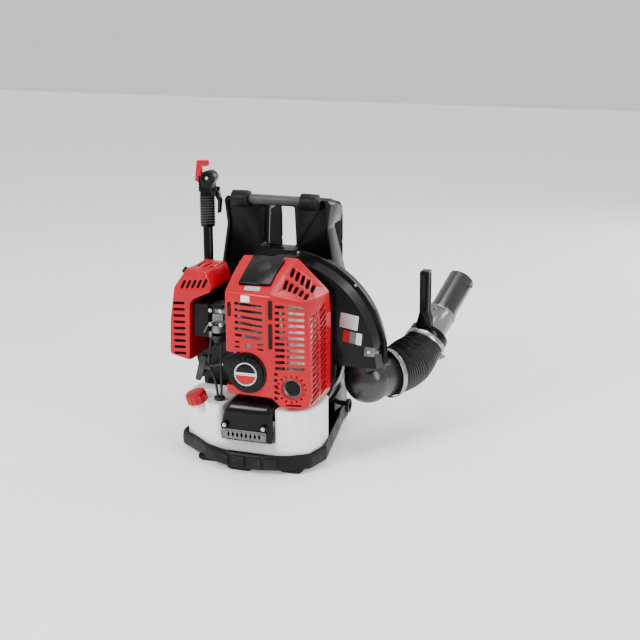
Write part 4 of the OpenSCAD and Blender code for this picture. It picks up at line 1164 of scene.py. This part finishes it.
def make_light(name, location, target, size, power, color=(1, 1, 1)):
    data = bpy.data.lights.new(name, "AREA")
    data.shape = "RECTANGLE"
    data.size, data.size_y = size
    data.energy = power
    data.color = color
    light = bpy.data.objects.new(name, data)
    bpy.context.collection.objects.link(light)
    light.location = location
    light.rotation_mode = "QUATERNION"
    light.rotation_quaternion = (Vector(target) - Vector(location)).to_track_quat("-Z", "Y")


def make_stage():
    bpy.ops.mesh.primitive_plane_add(size=14)
    floor = bpy.context.object
    floor.name = "floor"
    shader = Shader("floor", (0.93, 0.93, 0.93), 0.7)
    shader.tint(shader.span(shader.noise(3, 2), 0.4, 0.6, 0.0, 0.15), (0.9, 0.9, 0.9))
    shader.bsdf.inputs["Emission Color"].default_value = (1, 1, 1, 1)
    shader.bsdf.inputs["Emission Strength"].default_value = 0.3
    floor.data.materials.append(shader.mat)
    world = bpy.data.worlds.new("studio")
    bpy.context.scene.world = world
    world.use_nodes = True
    world.node_tree.nodes["Background"].inputs["Color"].default_value = (1, 1, 1, 1)
    world.node_tree.nodes["Background"].inputs["Strength"].default_value = 0.85
    middle = (0.05, 0, 0.25)
    make_light("key", (-1.2, -2.2, 2.0), middle, (0.9, 0.9), 70)
    make_light("fill", (2.4, -0.9, 1.5), middle, (0.5, 1.6), 36)
    make_light("top", (0.2, 0.3, 2.6), middle, (1.6, 1.0), 34)
    make_light("rim", (1.2, 2.4, 1.2), middle, (1.0, 1.6), 26)


make_camera()
make_stage()

# ---------- nodes that keep their CAD shape, with softened edges ----------

REBUILT = {
    "engine_cover", "cylinder_cap_panel", "flex_hose", "fuel_tank", "air_cleaner_cover",
    "tank_bracket", "tank_clamp_plate", "bracket_bolts", "base_tray",
    "back_pad", "shoulder_strap_left", "shoulder_strap_right", "strap_webbing", "starter_rope",
}
EDGE_WIDTHS = {
    "back_frame": 2.5, "fan_case_front": 1.2, "fan_case_rear": 1.2,
    "outlet_elbow": 1.0, "control_handle": 1.2, "arm_head": 1.5,
    "starter_case": 2.2, "muffler": 1.5,
}
finished = {
    node: dressed(node, EDGE_WIDTHS.get(node, 0.6) * MM)
    for node in BODY
    if node not in REBUILT
}
finished["swivel_pipe"].data.materials[0] = PIPE_LIGHT
finished["carburetor"].data.materials[0] = CARB_ALLOY
for clamp in ("hose_clamp_inner", "hose_clamp_outer"):
    finished[clamp].data.materials[0] = CLAMP_STEEL


def make_hose():
    """Two lengths of the same hose, one from the elbow and one to the swivel collar."""
    near = hose_tube("hose_near_elbow", 0.0, 0.5)
    far = hose_tube("hose_near_collar", 0.5, 1.0)
    for piece in (near, far):
        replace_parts(piece, "flex_hose")
    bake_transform(near)
    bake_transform(far)


make_engine_cover()
make_exhaust_guard()
make_cap_panel()
make_hose()
make_rope()
make_tank()
make_bracket()
make_base()
make_air_cover()
make_duct_trim()
make_duct_clip()
make_starter_badge()
make_grip_details()
make_engine_details()
make_back_pad()
make_straps()
